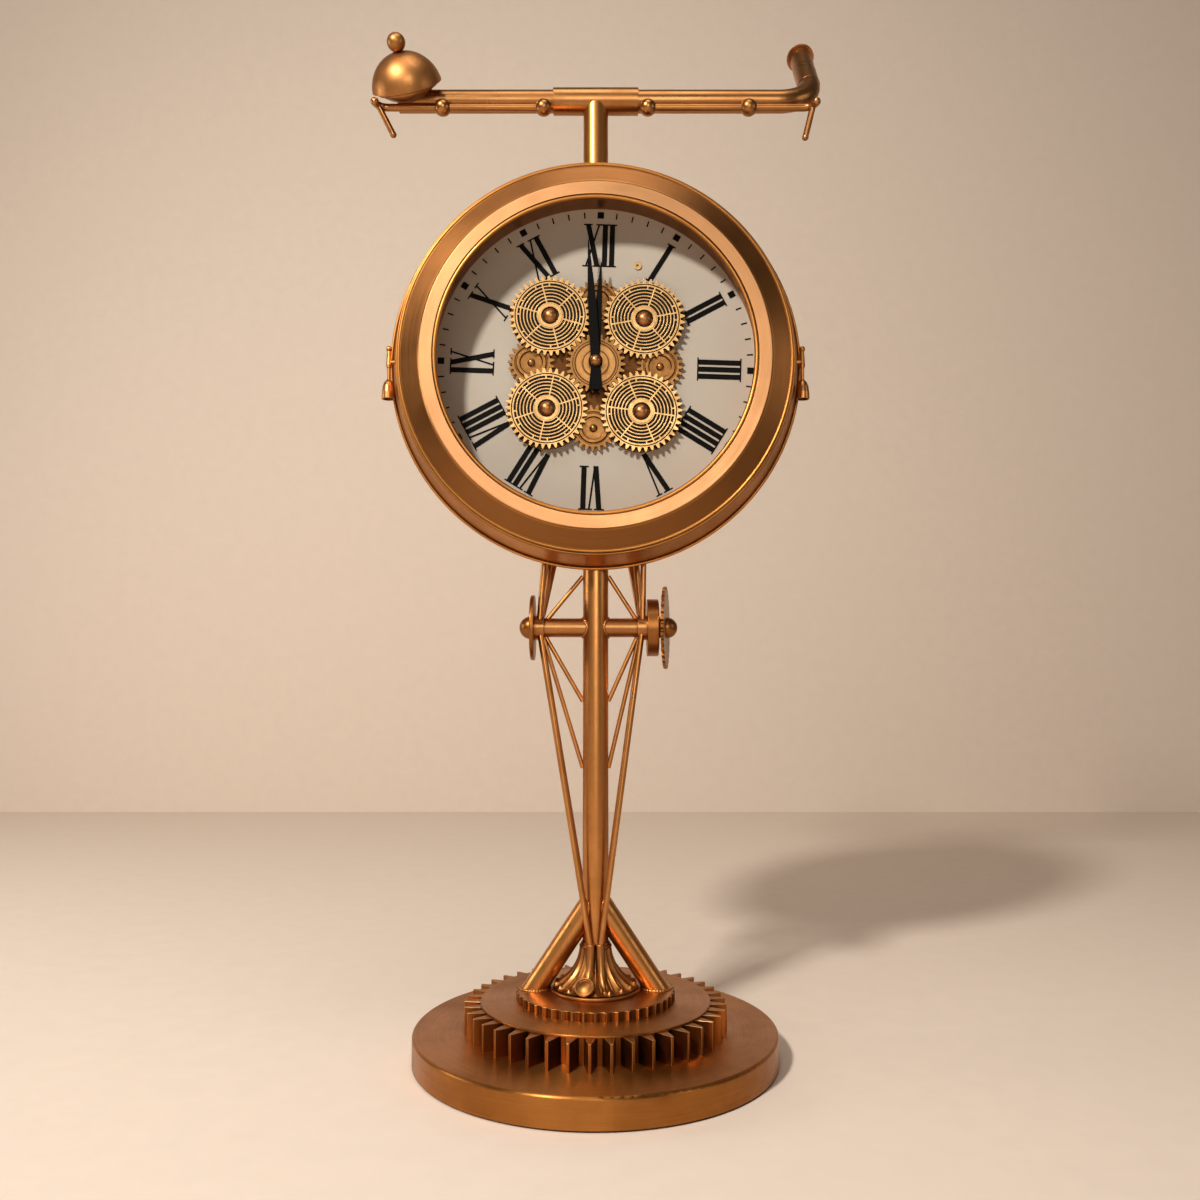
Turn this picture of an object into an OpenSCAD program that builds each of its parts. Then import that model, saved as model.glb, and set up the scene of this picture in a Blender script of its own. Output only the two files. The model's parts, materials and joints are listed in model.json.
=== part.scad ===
// Gear floor clock: a drum clock with turning wheels, on a bicycle-style stand.
// Millimetres, +Z up, front towards -Y, origin on the floor under the pole.

/* [Base] */
// Radius of the base plate
base_r = 185; // [165:1:210]
// Thickness of the base plate
base_h = 28; // [20:1:45]
// Thickness of the felt under the base
felt_h = 2; // [1:0.5:4]
// Inset of the felt from the base edge
felt_inset = 5; // [2:1:12]
// Rounding of the base plate's top edge
base_edge = 3; // [1:0.5:5]
// Wall left round the hollow underside of the base
base_wall = 14; // [8:1:25]
// Tip radius of the base gear
base_gear_r = 133.4; // [126:0.2:145]
// Depth of the base gear teeth
base_tooth_h = 20.4; // [14:0.2:24]
// Width of a base tooth at its tip
base_tooth_tip = 2.6; // [1.5:0.1:5]
// Width of a base tooth at its root
base_tooth_root = 12; // [8:0.5:14]
// Number of base gear teeth
base_teeth = 42; // [36:1:46]
// Thickness of the base gear
base_gear_h = 26; // [18:1:36]
// Radius of the cover disc
cover_r = 117; // [114:0.5:122]
// Thickness of the cover disc
cover_h = 2; // [1.5:0.5:5]
// Radius of the fluted disc over its ridges
fluted_r = 81; // [78:0.5:90]
// Thickness of the fluted disc
fluted_h = 9; // [6:0.5:14]
// Number of flutes
flutes = 46; // [36:1:56]
// Radius of the cut that makes one flute
flute_cut_r = 9; // [8.5:0.5:14]
// Shank radius of the base bolt
bolt_r = 6; // [5:0.5:7]

/* [Foot] */
// Radius of the foot's rim
foot_r = 47; // [40:1:47]
// Height of the foot
foot_h = 48; // [42:1:56]
// Radius of the foot's collar
collar_r = 15.5; // [14.8:0.1:17]
// Height of the foot's rim
foot_rim_h = 4; // [3:0.5:6]
// Radius of the round boss on the foot
medal_r = 9.5; // [6:0.5:10]
// Turn of the round boss from the front, to the left
medal_turn = 17; // [0:1:30]
// Spread of the rod sockets from the middle
socket_x = 4.8; // [4.6:0.1:8]
// Distance of the rod sockets in front of the pole axis
socket_y = 16.5; // [16:0.1:19]

/* [Pole and struts] */
// Radius of the pole
pole_r = 13.35; // [11.5:0.05:13.5]
// Tube wall
tube_wall = 2; // [1:0.5:3]
// Radius of a strut
strut_r = 12; // [9:0.5:13]
// Distance of a strut's foot from the pole axis
strut_x = 62.5; // [61:0.5:66]
// Height above the fluted disc where the strut axes meet
strut_rise = 93; // [86:1:100]

/* [Cross tube and truss] */
// Height of the cross tube
cross_z = 436.8; // [420:0.2:450]
// Radius of the cross tube
cross_r = 10; // [8:0.5:11]
// Radius of the cross tube's collars
cross_collar_r = 13; // [12:0.5:14]
// Length of a collar
cross_collar_w = 10; // [9:0.5:14]
// Left end of the cross tube
cross_left = 64; // [58:0.5:70]
// Right end of the cross tube
cross_right = 54; // [50:0.5:60]
// Radius of the main truss rods
rod_r = 3.1; // [2.5:0.1:3.3]
// Radius of the truss diagonals
brace_r = 2.3; // [1.8:0.1:2.6]
// Height where the upper diagonals meet the pole
brace_top_z = 491; // [475:1:495]
// Height where the first lower diagonals meet the pole
brace_mid_z = 360; // [340:1:380]
// Height where the second lower diagonals meet the pole
brace_low_z = 291; // [270:1:310]
// Radius of the plain end disc
end_disc_r = 34.1; // [28:0.1:38]
// Thickness of the plain end disc
end_disc_h = 4; // [2:0.5:6]
// Radius of the left dome nut
left_nut_r = 12; // [9:0.5:14]
// Radius of the hub drum
hub_r = 30; // [24:0.5:34]
// Width of the hub drum
hub_w = 11.6; // [8:0.2:16]
// Tip radius of the chainring
chainring_r = 43.2; // [40:0.2:48]
// Thickness of the chainring
chainring_h = 3.2; // [2:0.2:5]
// Number of chainring teeth
chainring_teeth = 32; // [24:1:40]
// Lean of the chainring on its hub
chainring_lean = 8; // [0:0.5:9]
// Distance of the chainring's middle from the hub's face
chainring_gap = 7.6; // [7.2:0.2:10]
// Radius of the right dome nut
right_nut_r = 11; // [8:0.5:13]

/* [Drum] */
// Height of the drum's centre
drum_z = 712.5; // [700:0.5:725]
// Outer radius of the drum's shell
shell_r = 204.5; // [196:0.5:210]
// Wall of the shell and bezel
shell_wall = 2; // [1.5:0.5:3]
// Depth of the shell behind the pole axis
shell_back = 44; // [38:1:55]
// Front end of the shell, ahead of the pole axis
shell_front = 44; // [38:0.5:46]
// How far the rim flange stands out past the shell
flange_out = 12; // [5:0.5:15.5]
// Thickness of the rim flange
flange_h = 3; // [2:0.5:4]
// Distance of the flange's back face ahead of the pole axis
flange_front = 14; // [13.8:0.1:16]
// Distance of the bezel's flat ring ahead of the pole axis
face_front = 62; // [57:0.5:64]
// How far the bezel's flat ring reaches past the dial's edge
ring_past = 1.6; // [1:0.1:4]
// Width of the bezel's flat ring
ring_w = 13.6; // [11.6:0.1:17]
// Radius of the bead inside the flat ring
bead_r = 2.6; // [2:0.1:3]
// Distance of the bezel's inner wall from the outer edge of its flat ring
well_in = 9.6; // [7.6:0.1:11]
// Radius of the two lip beads at the foot of the bezel's cone
lip_r = 1.6; // [1.2:0.1:1.8]

/* [Dial] */
// Front face of the dial, ahead of the pole axis
dial_front = 16; // [12:0.5:20]
// Thickness of the dial
dial_h = 2; // [1:0.5:3]
// Radius of the dial
dial_r = 178; // [172:0.5:180]
// Small turn of the dial in the drum, clockwise
dial_turn = 1.9; // [0:0.1:4]
// Height of the applied numerals and marks
mark_h = 0.4; // [0.2:0.1:0.8]
// Inner end of the numerals
numeral_in = 107; // [98:1:110]
// Gap from the outer end of the numerals to the middle of the minute marks
numeral_gap = 9.7; // [8:0.1:16]
// Width of a thick numeral stroke
stroke_w = 5.4; // [4:0.1:6]
// Width of a thin numeral stroke and of a serif
hair_w = 1.4; // [1:0.1:2]
// Distance of the minute marks' middle from the bezel's inner wall
minute_in = 6.8; // [6:0.1:9]
// Place of the dial's eyelet to the right of the centre
eyelet_x = 41; // [36:0.5:44]
// Place of the dial's eyelet above the centre
eyelet_y = 109; // [100:0.5:112]
// Outer radius of the dial's eyelet
eyelet_r = 4; // [3:0.2:5]
// Length of a minute mark
minute_l = 6.4; // [3:0.1:6.6]

/* [Wheels] */
// Module of the wheels: pitch diameter over teeth
wheel_module = 2.15; // [1.9:0.05:2.2]
// Teeth of the centre wheel
centre_teeth = 27; // [27:1:27]
// Teeth of a corner wheel
corner_teeth = 38; // [38:1:38]
// Teeth of the pinion behind a corner wheel
pinion_teeth = 28; // [28:1:28]
// Teeth of an idler
idler_teeth = 21; // [21:1:21]
// Play between teeth
backlash = 0.35; // [0.25:0.05:0.5]
// Thickness of the wheel plate
plate_h = 1.6; // [1:0.2:2.5]
// Thickness of an idler and of a pinion
idler_h = 2.4; // [1.6:0.2:2.8]
// Thickness of a corner wheel and of the centre wheel
wheel_h = 2; // [2:0.2:3.5]
// Space between an idler and the corner wheels
layer_gap = 2.8; // [2:0.2:4]
// Clearance under a turning wheel
lift = 0.6; // [0.4:0.1:1]
// Running clearance of a shaft in its hole
run_gap = 0.05; // [0.03:0.01:0.09]
// Radius of a corner wheel's post
post_r = 3; // [2.5:0.1:3.5]
// Radius of a post's domed head
head_r = 8; // [6:0.1:8.4]
// Radius of the well round a post's head
head_well_r = 9.4; // [9:0.1:10]
// Radius of a corner wheel's hub ring
hub_ring_r = 12.7; // [12:0.1:13.5]
// Number of slot rings in a corner wheel
slot_rings = 6; // [4:1:6]
// Distance from one slot ring to the next
slot_pitch = 3.6; // [3:0.1:3.6]
// Width of a slot
slot_w = 2.4; // [1.4:0.1:2.4]
// Width of a spoke
spoke_w = 1.5; // [1:0.1:2]
// Number of spokes
spokes = 6; // [5:1:8]
// Radius of an idler's post
idler_post_r = 2; // [1.6:0.1:2.4]
// Radius of the round knobs on the idlers
idler_knob_r = 4.2; // [3:0.1:5]

/* [Hands] */
// Length of the minute hand from its axis
minute_len = 129; // [115:1:140]
// Length of the hour hand from its axis
hour_len = 106; // [90:1:112]
// Length of the tails
tail_len = 30; // [20:1:34]
// Width of a tail
tail_w = 11; // [8:0.5:12]
// Thickness of a hand
hand_h = 1.4; // [1:0.1:2]
// Angle of the minute hand from upright, clockwise
minute_angle = -3.4; // [-6:0.1:6]
// Angle of the hour hand from upright, clockwise
hour_angle = 3.2; // [-6:0.1:6]
// Front of the wheels to the back of the hour hand
hand_gap = 5; // [4.4:0.1:7]
// Radius of the minute arbor
arbor_r = 2; // [1.5:0.1:2.2]
// Radius of the hour pipe
pipe_r = 3.5; // [3:0.1:4]
// Radius of the movement's bush
bush_r = 6; // [5:0.1:7]
// Radius of the cap on the hands
cap_r = 5.9; // [5:0.1:7]

/* [Movement and back] */
// Side of the movement's case
movement_w = 56; // [54:1:62]
// Depth of the movement's case
movement_h = 18; // [17:0.5:22]
// Side of the gear drive's case, up and down
drive_w = 34; // [30:1:38]
// Radius of a cell
cell_r = 7.1; // [6.8:0.1:7.3]
// Length of a cell
cell_l = 49; // [46:0.5:50]
// Clearance round a cell
cell_gap = 0.3; // [0.2:0.1:0.6]
// Radius of the setting wheel
set_r = 6; // [5:0.5:8]
// Thickness of the back cover
back_h = 2; // [1.5:0.5:3]
// Width of the back cover's window
window_w = 80; // [76:1:90]
// Height of the back cover's window
window_h = 126; // [122:1:140]
// Number of back cover screws
screws = 6; // [4:1:8]
// Distance from the shell's inner wall in to the back screws
screw_inset = 14; // [12:0.5:20]
// Head radius of a back cover screw
screw_r = 4; // [3:0.5:5]

/* [Handlebar] */
// Height of the handlebar's axis
bar_z = 1010.5; // [985:0.5:1020]
// Radius of the handlebar
bar_r = 12; // [10.5:0.1:12.4]
// Left end of the handlebar
bar_left = 214; // [210:1:218]
// Where the right end starts to bend
bend_x = 199; // [186:1:204]
// Radius of the right bend
bend_r = 38; // [32:1:42]
// Rise of the swept grip above level
grip_rise = 53; // [45:1:60]
// Straight length of the swept grip
grip_len = 75; // [50:1:80]
// Radius of the grip's sleeve
grip_r = 12.4; // [12.1:0.1:13.4]
// Radius of the grip's end flange
grip_flange_r = 15.5; // [13:0.5:17]
// Thickness of the grip's end flange
grip_flange_h = 3; // [2:0.5:5]
// Length of the tee collar
tee_len = 92; // [80:1:95]
// Radius of the tee collar
tee_r = 14.2; // [13:0.05:15]
// Radius of a ball clip
ball_r = 9.1; // [7.5:0.1:9.2]
// Distance of the inner ball clips from the middle
ball_in_x = 56; // [54:0.5:62]
// Distance of the outer ball clips from the middle
ball_out_x = 164.5; // [150:0.5:168]
// Brake rod axis in front of the handlebar's axis
brake_y = 14.5; // [14:0.1:16]
// Brake rod axis below the handlebar's axis
brake_drop = 14.8; // [14.5:0.1:17]
// Radius of the brake rods
brake_r = 4; // [3.5:0.1:4.2]
// Where a brake rod bends forward
hook_x = 223; // [220:0.5:226]
// Radius of that bend
hook_r = 12; // [10:0.5:13]
// Radius of a hanging lever
lever_r = 3.2; // [2.4:0.1:3.4]
// Where on the bend a lever hangs, as the angle of the bend up to it
lever_turn = 55; // [30:1:70]
// Length of a hanging lever
lever_len = 33; // [28:0.5:40]
// Inward lean of the left lever
lever_lean_left = 28; // [10:1:30]
// Inward lean of the right lever
lever_lean_right = 13; // [10:1:30]
// Backward lean of both levers
lever_back = 18; // [0:1:25]

/* [Bell] */
// Distance of the bell's axis from the middle
bell_x = 201.5; // [198:0.5:204]
// Lean of the bell towards the front
bell_lean = 42; // [36:0.5:44]
// Lean of the bell towards the left
bell_side = 12; // [0:0.5:14]
// Distance of the bell's rim plane from the bar's axis
bell_lift = 16; // [15.5:0.5:20]
// Outer radius of the bell's dome
bell_r = 38.2; // [36.5:0.1:38.5]
// Height of the dome's rim above the middle of its ball
dome_cut = 4; // [2:0.5:6]
// Wall of the bell's dome
bell_wall = 2; // [1.5:0.1:2.5]
// Radius of the bell's base bowl at its edge
bowl_r = 33; // [29:0.5:33.5]
// Depth of the bell's base bowl
bowl_h = 16; // [14:0.5:16]
// Radius of the knob's ball
knob_r = 9.7; // [8:0.1:10]
// How far the resting knob reaches into the dome's dimple
knob_sink = 0.9; // [0:0.1:1.2]
// Travel of the knob
knob_travel = 2; // [1.5:0.1:2.5]
// Radius of the knob's plunger
plunger_r = 2.5; // [2:0.1:3]

/* [Side horns] */
// Distance of the small horns' axes outside the shell
horn_out = 11; // [9:0.5:14]
// Distance of a horn ahead of the pole axis
horn_front = 28; // [27:0.5:31]
// Height of a horn's mouth below the drum's centre
horn_drop = 39; // [34:0.5:44]
// Radius of a horn's mouth
horn_r = 7; // [6.5:0.1:8]
// Height of a horn's cup
cup_h = 20; // [12:0.5:22]
// Radius of a horn's tube
horn_tube_r = 3; // [2.5:0.1:3.4]

/* [Hidden] */
$fn = 96;
// Gap at welded seats, so that solids touch without crossing
seat = 0.05;
// Clearance of a bolt, a bush or a hub in a plain hole
loose = 0.3;
// A length that reaches past any piece that is cut
past = 400;

// Heights of the base's layers
base_z = felt_h;
gear_z = base_z + base_h;
cover_z = gear_z + base_gear_h;
fluted_z = cover_z + cover_h;
foot_z = fluted_z + fluted_h;
foot_top = foot_z + foot_h;
base_web = 6;
bolt_head_h = 8;
bolt_reach = 30;
plug_h = 40;

// Concave flare of the foot: an arc from the rim to the collar
flare_rise = foot_h - 2 * foot_rim_h;
flare_run = foot_r - 3 - collar_r;
flare_r = (flare_run * flare_run + flare_rise * flare_rise) / (2 * flare_run);
flare_c = [collar_r + flare_r, foot_h - foot_rim_h];
// The round boss sits where the flare is at this height
medal_z = 10.5;
medal_in = flare_c[0] - sqrt(pow(flare_r, 2) - pow(flare_c[1] - medal_z, 2));
medal_tilt = acos((flare_c[1] - medal_z) / flare_r);
socket_r = rod_r + 1.4;
socket_h = 28;

// Struts lean so that their axes meet on the pole's axis
strut_lean = atan(strut_x / strut_rise);

// Truss: where the rods leave the collars and where they meet the drum
collar_left_mid = cross_left - cross_collar_w / 2;
collar_right_mid = cross_right - cross_collar_w / 2;
rod_fan_y = 7.5;
top_left = [[cross_left - 11, -4], [cross_left - 17, 12], [cross_left - 22, 28]];
top_right = [[cross_right - 3.5, -4], [cross_right - 12, 12], [cross_right - 19, 28]];

// Drum: where the bezel's lip and inner bead are
cone_at = [shell_r - 4.6, shell_front + 8];
lip_at = [[shell_r - 0.9, shell_front + 4.4], [shell_r - 3.4, shell_front + 7.4]];
flange_r = shell_r + flange_out;
ring_out_r = dial_r + ring_past;
ring_in_r = ring_out_r - ring_w;
well_r = ring_out_r - well_in;
minute_r = well_r - minute_in;
numeral_out = minute_r - numeral_gap;
bead_at = [ring_in_r - bead_r + 0.4, face_front - 3];
back_wall_r = shell_r - shell_wall;
skirt_r = flange_r - flange_h - 0.5;
skirt_front = flange_front + flange_h;
screw_circle = back_wall_r - screw_inset;
horn_x = shell_r + horn_out;

// Layers of the wheels, ahead of the pole axis
plate_front = dial_front + plate_h;
idler_z = plate_front + lift;
wheel_z = idler_z + idler_h + layer_gap;
wheel_front = wheel_z + wheel_h;
hour_z = wheel_front + hand_gap;
minute_z = hour_z + hand_h + 1.4;
dial_back = dial_front - dial_h;
movement_back = dial_back - movement_h;

// Wheel centres: corners on the diagonals, idlers between two corners
function pitch_r(n) = wheel_module * n / 2;
corner_d = (pitch_r(centre_teeth) + pitch_r(corner_teeth)) / sqrt(2);
pinion_span = pitch_r(pinion_teeth) + pitch_r(idler_teeth);
idler_d = corner_d + sqrt(pow(pinion_span, 2) - pow(corner_d, 2));
function corner_at(k) = corner_d * sqrt(2) * [cos(45 + 90 * k), sin(45 + 90 * k)];
function idler_at(k) = idler_d * [cos(90 * k), sin(90 * k)];
function bearing(p, q) = atan2(q[1] - p[1], q[0] - p[0]);
// Turn of wheel B that meshes with wheel A, seen from A at angle b
function mesh(b, turn_a, teeth_a, teeth_b) =
    b + 180 - (0.5 - (b - turn_a) * teeth_a / 360) * 360 / teeth_b;
function corner_turn(k) = mesh(45 + 90 * k, 0, centre_teeth, corner_teeth);
function pinion_turn(k) = mesh(bearing(idler_at(k), corner_at(k)), 90 * k, idler_teeth, pinion_teeth);

// Involute teeth: half angle of a tooth at radius r, from the pitch thickness
pressure = 20;
function involute(c) = tan(acos(c)) * 180 / PI - acos(c);
function tooth_half(n, r) =
    let (p = pitch_r(n), b = p * cos(pressure))
    (PI * wheel_module / 2 - backlash) / (2 * p) * 180 / PI
    + involute(cos(pressure)) - involute(min(1, b / r));
function tip_r(n) = pitch_r(n) + 0.95 * wheel_module;
function root_r(n) = pitch_r(n) - 1.2 * wheel_module;
function polar(r, a) = [r * cos(a), r * sin(a)];
function wheel_points(n) =
    let (radii = [root_r(n), pitch_r(n) - 0.5 * wheel_module, pitch_r(n) + 0.3 * wheel_module, tip_r(n)])
    [for (i = [0 : n - 1], j = [0 : 7])
        let (r = radii[j < 4 ? j : 7 - j], s = j < 4 ? -1 : 1)
        polar(r, i * 360 / n + s * tooth_half(n, max(r, pitch_r(n) * cos(pressure))))];

// Plain teeth: straight flanks from a root width to a tip width
function plain_points(n, root, tip, root_w, tip_w) =
    [for (i = [0 : n - 1], j = [0 : 3])
        let (r = (j == 0 || j == 3) ? root : tip, w = (j == 0 || j == 3) ? root_w : tip_w)
        polar(r, i * 360 / n + (j < 2 ? -1 : 1) * asin(w / 2 / r))];

// Brake rods and the bell
brake_z = bar_z - brake_drop;
knob_z = bell_r - dome_cut - knob_sink + knob_r;
bowl_sphere = (bowl_r * bowl_r + bowl_h * bowl_h) / (2 * bowl_h);
guide_r = 6;
bowl_plate = 3.6;

// Colours
copper = [0.62, 0.36, 0.17];
dark_copper = [0.48, 0.27, 0.13];
brass = [0.83, 0.62, 0.33];
black = [0.07, 0.06, 0.06];

// Shared shapes

// Face frame: x to the right, y up, z towards the front, on the drum's axis
module on_face() {
    translate([0, 0, drum_z]) rotate([90, 0, 0]) children();
}

// Face frame turned with the dial
module on_dial() {
    on_face() rotate(-dial_turn) children();
}

// A rod of radius r from point a to point b
module rod(a, b, r) {
    d = b - a;
    translate(a)
        rotate([0, acos(d[2] / norm(d)), atan2(d[1], d[0])])
            cylinder(r = r, h = norm(d));
}

// A flat disc with a rounded top edge
module rounded_disc(r, h, e) {
    rotate_extrude() {
        square([r - e, h]);
        square([r, h - e]);
        translate([r - e, h - e]) circle(r = e);
    }
}

// Half ball on the z = 0 plane
module dome(r) {
    intersection() {
        sphere(r = r);
        translate([-r, -r, 0]) cube([2 * r, 2 * r, r]);
    }
}

// Shapes along the drum's axis that rods and tubes are fitted to
module shell_cut() {
    on_face() translate([0, 0, -past / 2]) cylinder(r = shell_r + seat, h = past);
    on_face() translate([0, 0, skirt_front])
        cylinder(r1 = skirt_r + seat, r2 = shell_r + seat, h = shell_front - skirt_front);
}

module pole_cut() {
    cylinder(r = pole_r + seat, h = past * 3);
}

module bar_cut(r) {
    translate([-past, 0, bar_z]) rotate([0, 90, 0]) cylinder(r = r, h = 2 * past);
}

// Base

module floor_felt() color("dimgray")
    cylinder(r = base_r - felt_inset, h = felt_h);

module base_plate() color(copper)
    translate([0, 0, base_z])
        difference() {
            rounded_disc(base_r, base_h, base_edge);
            translate([0, 0, -1]) cylinder(r = base_r - base_wall, h = base_h - base_web + 1);
            cylinder(r = bolt_r + loose, h = past);
        }

module base_gear() color(copper)
    translate([0, 0, gear_z])
        difference() {
            linear_extrude(base_gear_h) rotate(-92)
                polygon(plain_points(base_teeth, base_gear_r - base_tooth_h, base_gear_r,
                    base_tooth_root, base_tooth_tip));
            translate([0, 0, -1])
                cylinder(r = base_gear_r - base_tooth_h - base_web, h = base_gear_h - base_web + 1);
            cylinder(r = bolt_r + loose, h = past);
        }

module cover_disc() color(copper)
    translate([0, 0, cover_z])
        difference() {
            rounded_disc(cover_r, cover_h, cover_h / 3);
            translate([0, 0, -1]) cylinder(r = bolt_r + loose, h = past);
        }

module fluted_disc() color(copper) {
    half = 180 / flutes;
    cut_at = fluted_r * cos(half) + sqrt(pow(flute_cut_r, 2) - pow(fluted_r * sin(half), 2));
    translate([0, 0, fluted_z])
        difference() {
            cylinder(r = fluted_r, h = fluted_h);
            for (i = [0 : flutes - 1])
                rotate(i * 360 / flutes) translate([cut_at, 0, -1])
                    cylinder(r = flute_cut_r, h = fluted_h + 2, $fn = 48);
            translate([0, 0, -1]) cylinder(r = bolt_r + loose, h = past);
        }
}

module base_bolt() color("silver") {
    head_z = base_z + base_h - base_web - bolt_head_h;
    translate([0, 0, head_z]) cylinder(r = bolt_r * 1.9, h = bolt_head_h - seat, $fn = 6);
    translate([0, 0, head_z]) cylinder(r = bolt_r, h = foot_z + bolt_reach - head_z);
}

module cast_foot() color(copper)
    translate([0, 0, foot_z])
        difference() {
            union() {
                rotate_extrude() difference() {
                    square([foot_r, foot_h]);
                    translate(flare_c) circle(r = flare_r);
                    translate([collar_r, flare_c[1]]) square(past);
                    translate([flare_c[0] - flare_r * 0.4, foot_rim_h]) square(past);
                }
                rotate_extrude() translate([collar_r - 0.5, foot_h - foot_rim_h]) circle(r = 1.8);
                for (s = [-1, 1], t = [-1, 1])
                    translate([s * socket_x, t * socket_y, foot_h - socket_h])
                        cylinder(r = socket_r, h = socket_h);
                rotate(-90 - medal_turn) translate([medal_in, 0, medal_z]) rotate([0, 90 - medal_tilt, 0]) {
                    translate([0, 0, -4]) cylinder(r = medal_r, h = 6.5);
                    translate([0, 0, 2.5]) scale([1, 1, 0.4]) dome(medal_r * 0.8);
                }
            }
            translate([0, 0, -1]) cylinder(r = pole_r + seat, h = past);
            for (s = [-1, 1])
                translate([s * strut_x, 0, 0]) rotate([0, -s * strut_lean, 0]) translate([0, 0, -past / 20])
                    cylinder(r = strut_r + loose, h = past / 20 + 3 * foot_rim_h);
        }

// Pole, struts and truss

module pole() color(dark_copper)
    difference() {
        translate([0, 0, foot_z]) cylinder(r = pole_r, h = drum_z - foot_z);
        translate([0, 0, foot_z + plug_h]) cylinder(r = pole_r - tube_wall, h = past * 3);
        translate([0, 0, foot_z - 1]) cylinder(r = bolt_r + seat, h = bolt_reach + 2);
        shell_cut();
    }

module strut(side) color(dark_copper)
    difference() {
        translate([side * strut_x, 0, foot_z])
            rotate([0, -side * strut_lean, 0]) translate([0, 0, -past / 20])
                cylinder(r = strut_r, h = past / 2);
        translate([side * strut_x, 0, foot_z])
            rotate([0, -side * strut_lean, 0]) translate([0, 0, -past / 4])
                cylinder(r = strut_r - tube_wall, h = past);
        translate([-past, -past, foot_z - past]) cube([2 * past, 2 * past, past]);
        translate([side > 0 ? -2 * past : 0, -past, 0]) cube([2 * past, 2 * past, past]);
        pole_cut();
    }

module strut_left() strut(-1);
module strut_right() strut(1);

module cross_stub(side, reach) {
    difference() {
        union() {
            rod([0, 0, cross_z], [side * reach, 0, cross_z], cross_r);
            rod([side * (reach - cross_collar_w), 0, cross_z], [side * reach, 0, cross_z], cross_collar_r);
        }
        pole_cut();
    }
}

module cross_tube() color(dark_copper) {
    cross_stub(-1, cross_left);
    cross_stub(1, cross_right);
}

// What the truss rods of one side are fitted to
module truss_cut(side, reach) {
    rod([0, 0, cross_z], [side * reach, 0, cross_z], cross_r + seat);
    rod([side * (reach - cross_collar_w - seat), 0, cross_z],
        [side * (reach + past), 0, cross_z], cross_collar_r + seat);
    pole_cut();
    shell_cut();
    translate([-past, -past, foot_top - past]) cube([2 * past, 2 * past, past + seat]);
}

module truss_rods(side, reach, mid, tops) color(dark_copper) {
    lean_x = mid - 1;
    starts = [[-rod_fan_y, 0], [0, 2], [rod_fan_y, 0]];
    for (i = [0 : 2])
        difference() {
            rod([side * mid, starts[i][0], cross_z + starts[i][1]],
                [side * tops[i][0], tops[i][1], drum_z - shell_r + 12], rod_r);
            truss_cut(side, reach);
        }
    for (t = [-1, 1])
        difference() {
            rod([side * mid, t * rod_fan_y, cross_z], [side * socket_x, t * socket_y, foot_top - 4], rod_r);
            truss_cut(side, reach);
        }
    for (b = [[lean_x, brace_top_z], [lean_x, brace_mid_z], [lean_x, brace_low_z]])
        difference() {
            rod([side * b[0], 0, cross_z], [side * pole_r, 0, b[1]], brace_r);
            truss_cut(side, reach);
        }
}

module truss_rods_left() truss_rods(-1, cross_left, collar_left_mid, top_left);
module truss_rods_right() truss_rods(1, cross_right, collar_right_mid, top_right);

module end_disc() color(copper)
    translate([-cross_left, 0, cross_z]) rotate([0, -90, 0])
        rounded_disc(end_disc_r, end_disc_h, end_disc_h / 3);

module hub_drum() color(dark_copper)
    translate([cross_right, 0, cross_z]) rotate([0, 90, 0])
        rounded_disc(hub_r, hub_w, 1);

// Frame of the leaning chainring: z along its own axis
module on_chainring() {
    translate([cross_right + hub_w + chainring_gap, 0, cross_z])
        rotate([0, 90, -chainring_lean]) children();
}

module chainring() color(copper) {
    pitch_w = 2 * PI * chainring_r / chainring_teeth;
    difference() {
        on_chainring() {
            translate([0, 0, -chainring_h / 2]) linear_extrude(chainring_h)
                polygon(plain_points(chainring_teeth, chainring_r * 0.93, chainring_r,
                    pitch_w * 0.7, pitch_w * 0.35));
            translate([0, 0, -2 * chainring_gap]) cylinder(r = right_nut_r, h = 2 * chainring_gap);
        }
        translate([cross_right + hub_w - past, -past / 2, 0]) cube([past, past, past * 3]);
    }
}

module axle_nuts() color(copper) {
    translate([-cross_left - end_disc_h, 0, cross_z]) rotate([0, -90, 0]) dome(left_nut_r);
    on_chainring() translate([0, 0, chainring_h / 2]) dome(right_nut_r);
}

// Drum

module case_shell() color(dark_copper)
    on_face() rotate_extrude($fn = 180) {
        rim = flange_r - flange_h / 2;
        groove = skirt_front - flange_h * 0.4;
        inner = skirt_r - shell_wall;
        polygon([[back_wall_r, -shell_back], [shell_r, -shell_back], [shell_r, flange_front],
            [rim, flange_front], [rim, groove], [skirt_r + 0.4, groove], [skirt_r, skirt_front],
            [shell_r, shell_front], [back_wall_r, shell_front], [inner, skirt_front],
            [inner, flange_front + shell_wall], [back_wall_r, flange_front + shell_wall]]);
        translate([rim, flange_front + flange_h / 2]) circle(r = flange_h / 2);
    }

module bezel() color(copper)
    on_face() rotate_extrude($fn = 180) {
        under = face_front - shell_wall;
        well_out = well_r + shell_wall;
        polygon([[ring_in_r, under], [bead_at[0], under], [bead_at[0], under - shell_wall],
            [well_r, under - shell_wall], [well_r, dial_front], [well_out, dial_front], [well_out, under],
            [ring_out_r - shell_wall / 2, under], [cone_at[0] - 1.9, cone_at[1] - 1.8],
            [back_wall_r, shell_front + shell_wall], [back_wall_r, shell_front], [shell_r - 0.4, shell_front],
            [shell_r - 0.4, shell_front + 4], cone_at, [ring_out_r + 0.8, face_front - 1.6],
            [ring_out_r - 0.8, face_front], [ring_in_r, face_front]]);
        translate(bead_at) circle(r = bead_r);
        for (at = lip_at) translate(at) circle(r = lip_r);
    }

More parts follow.
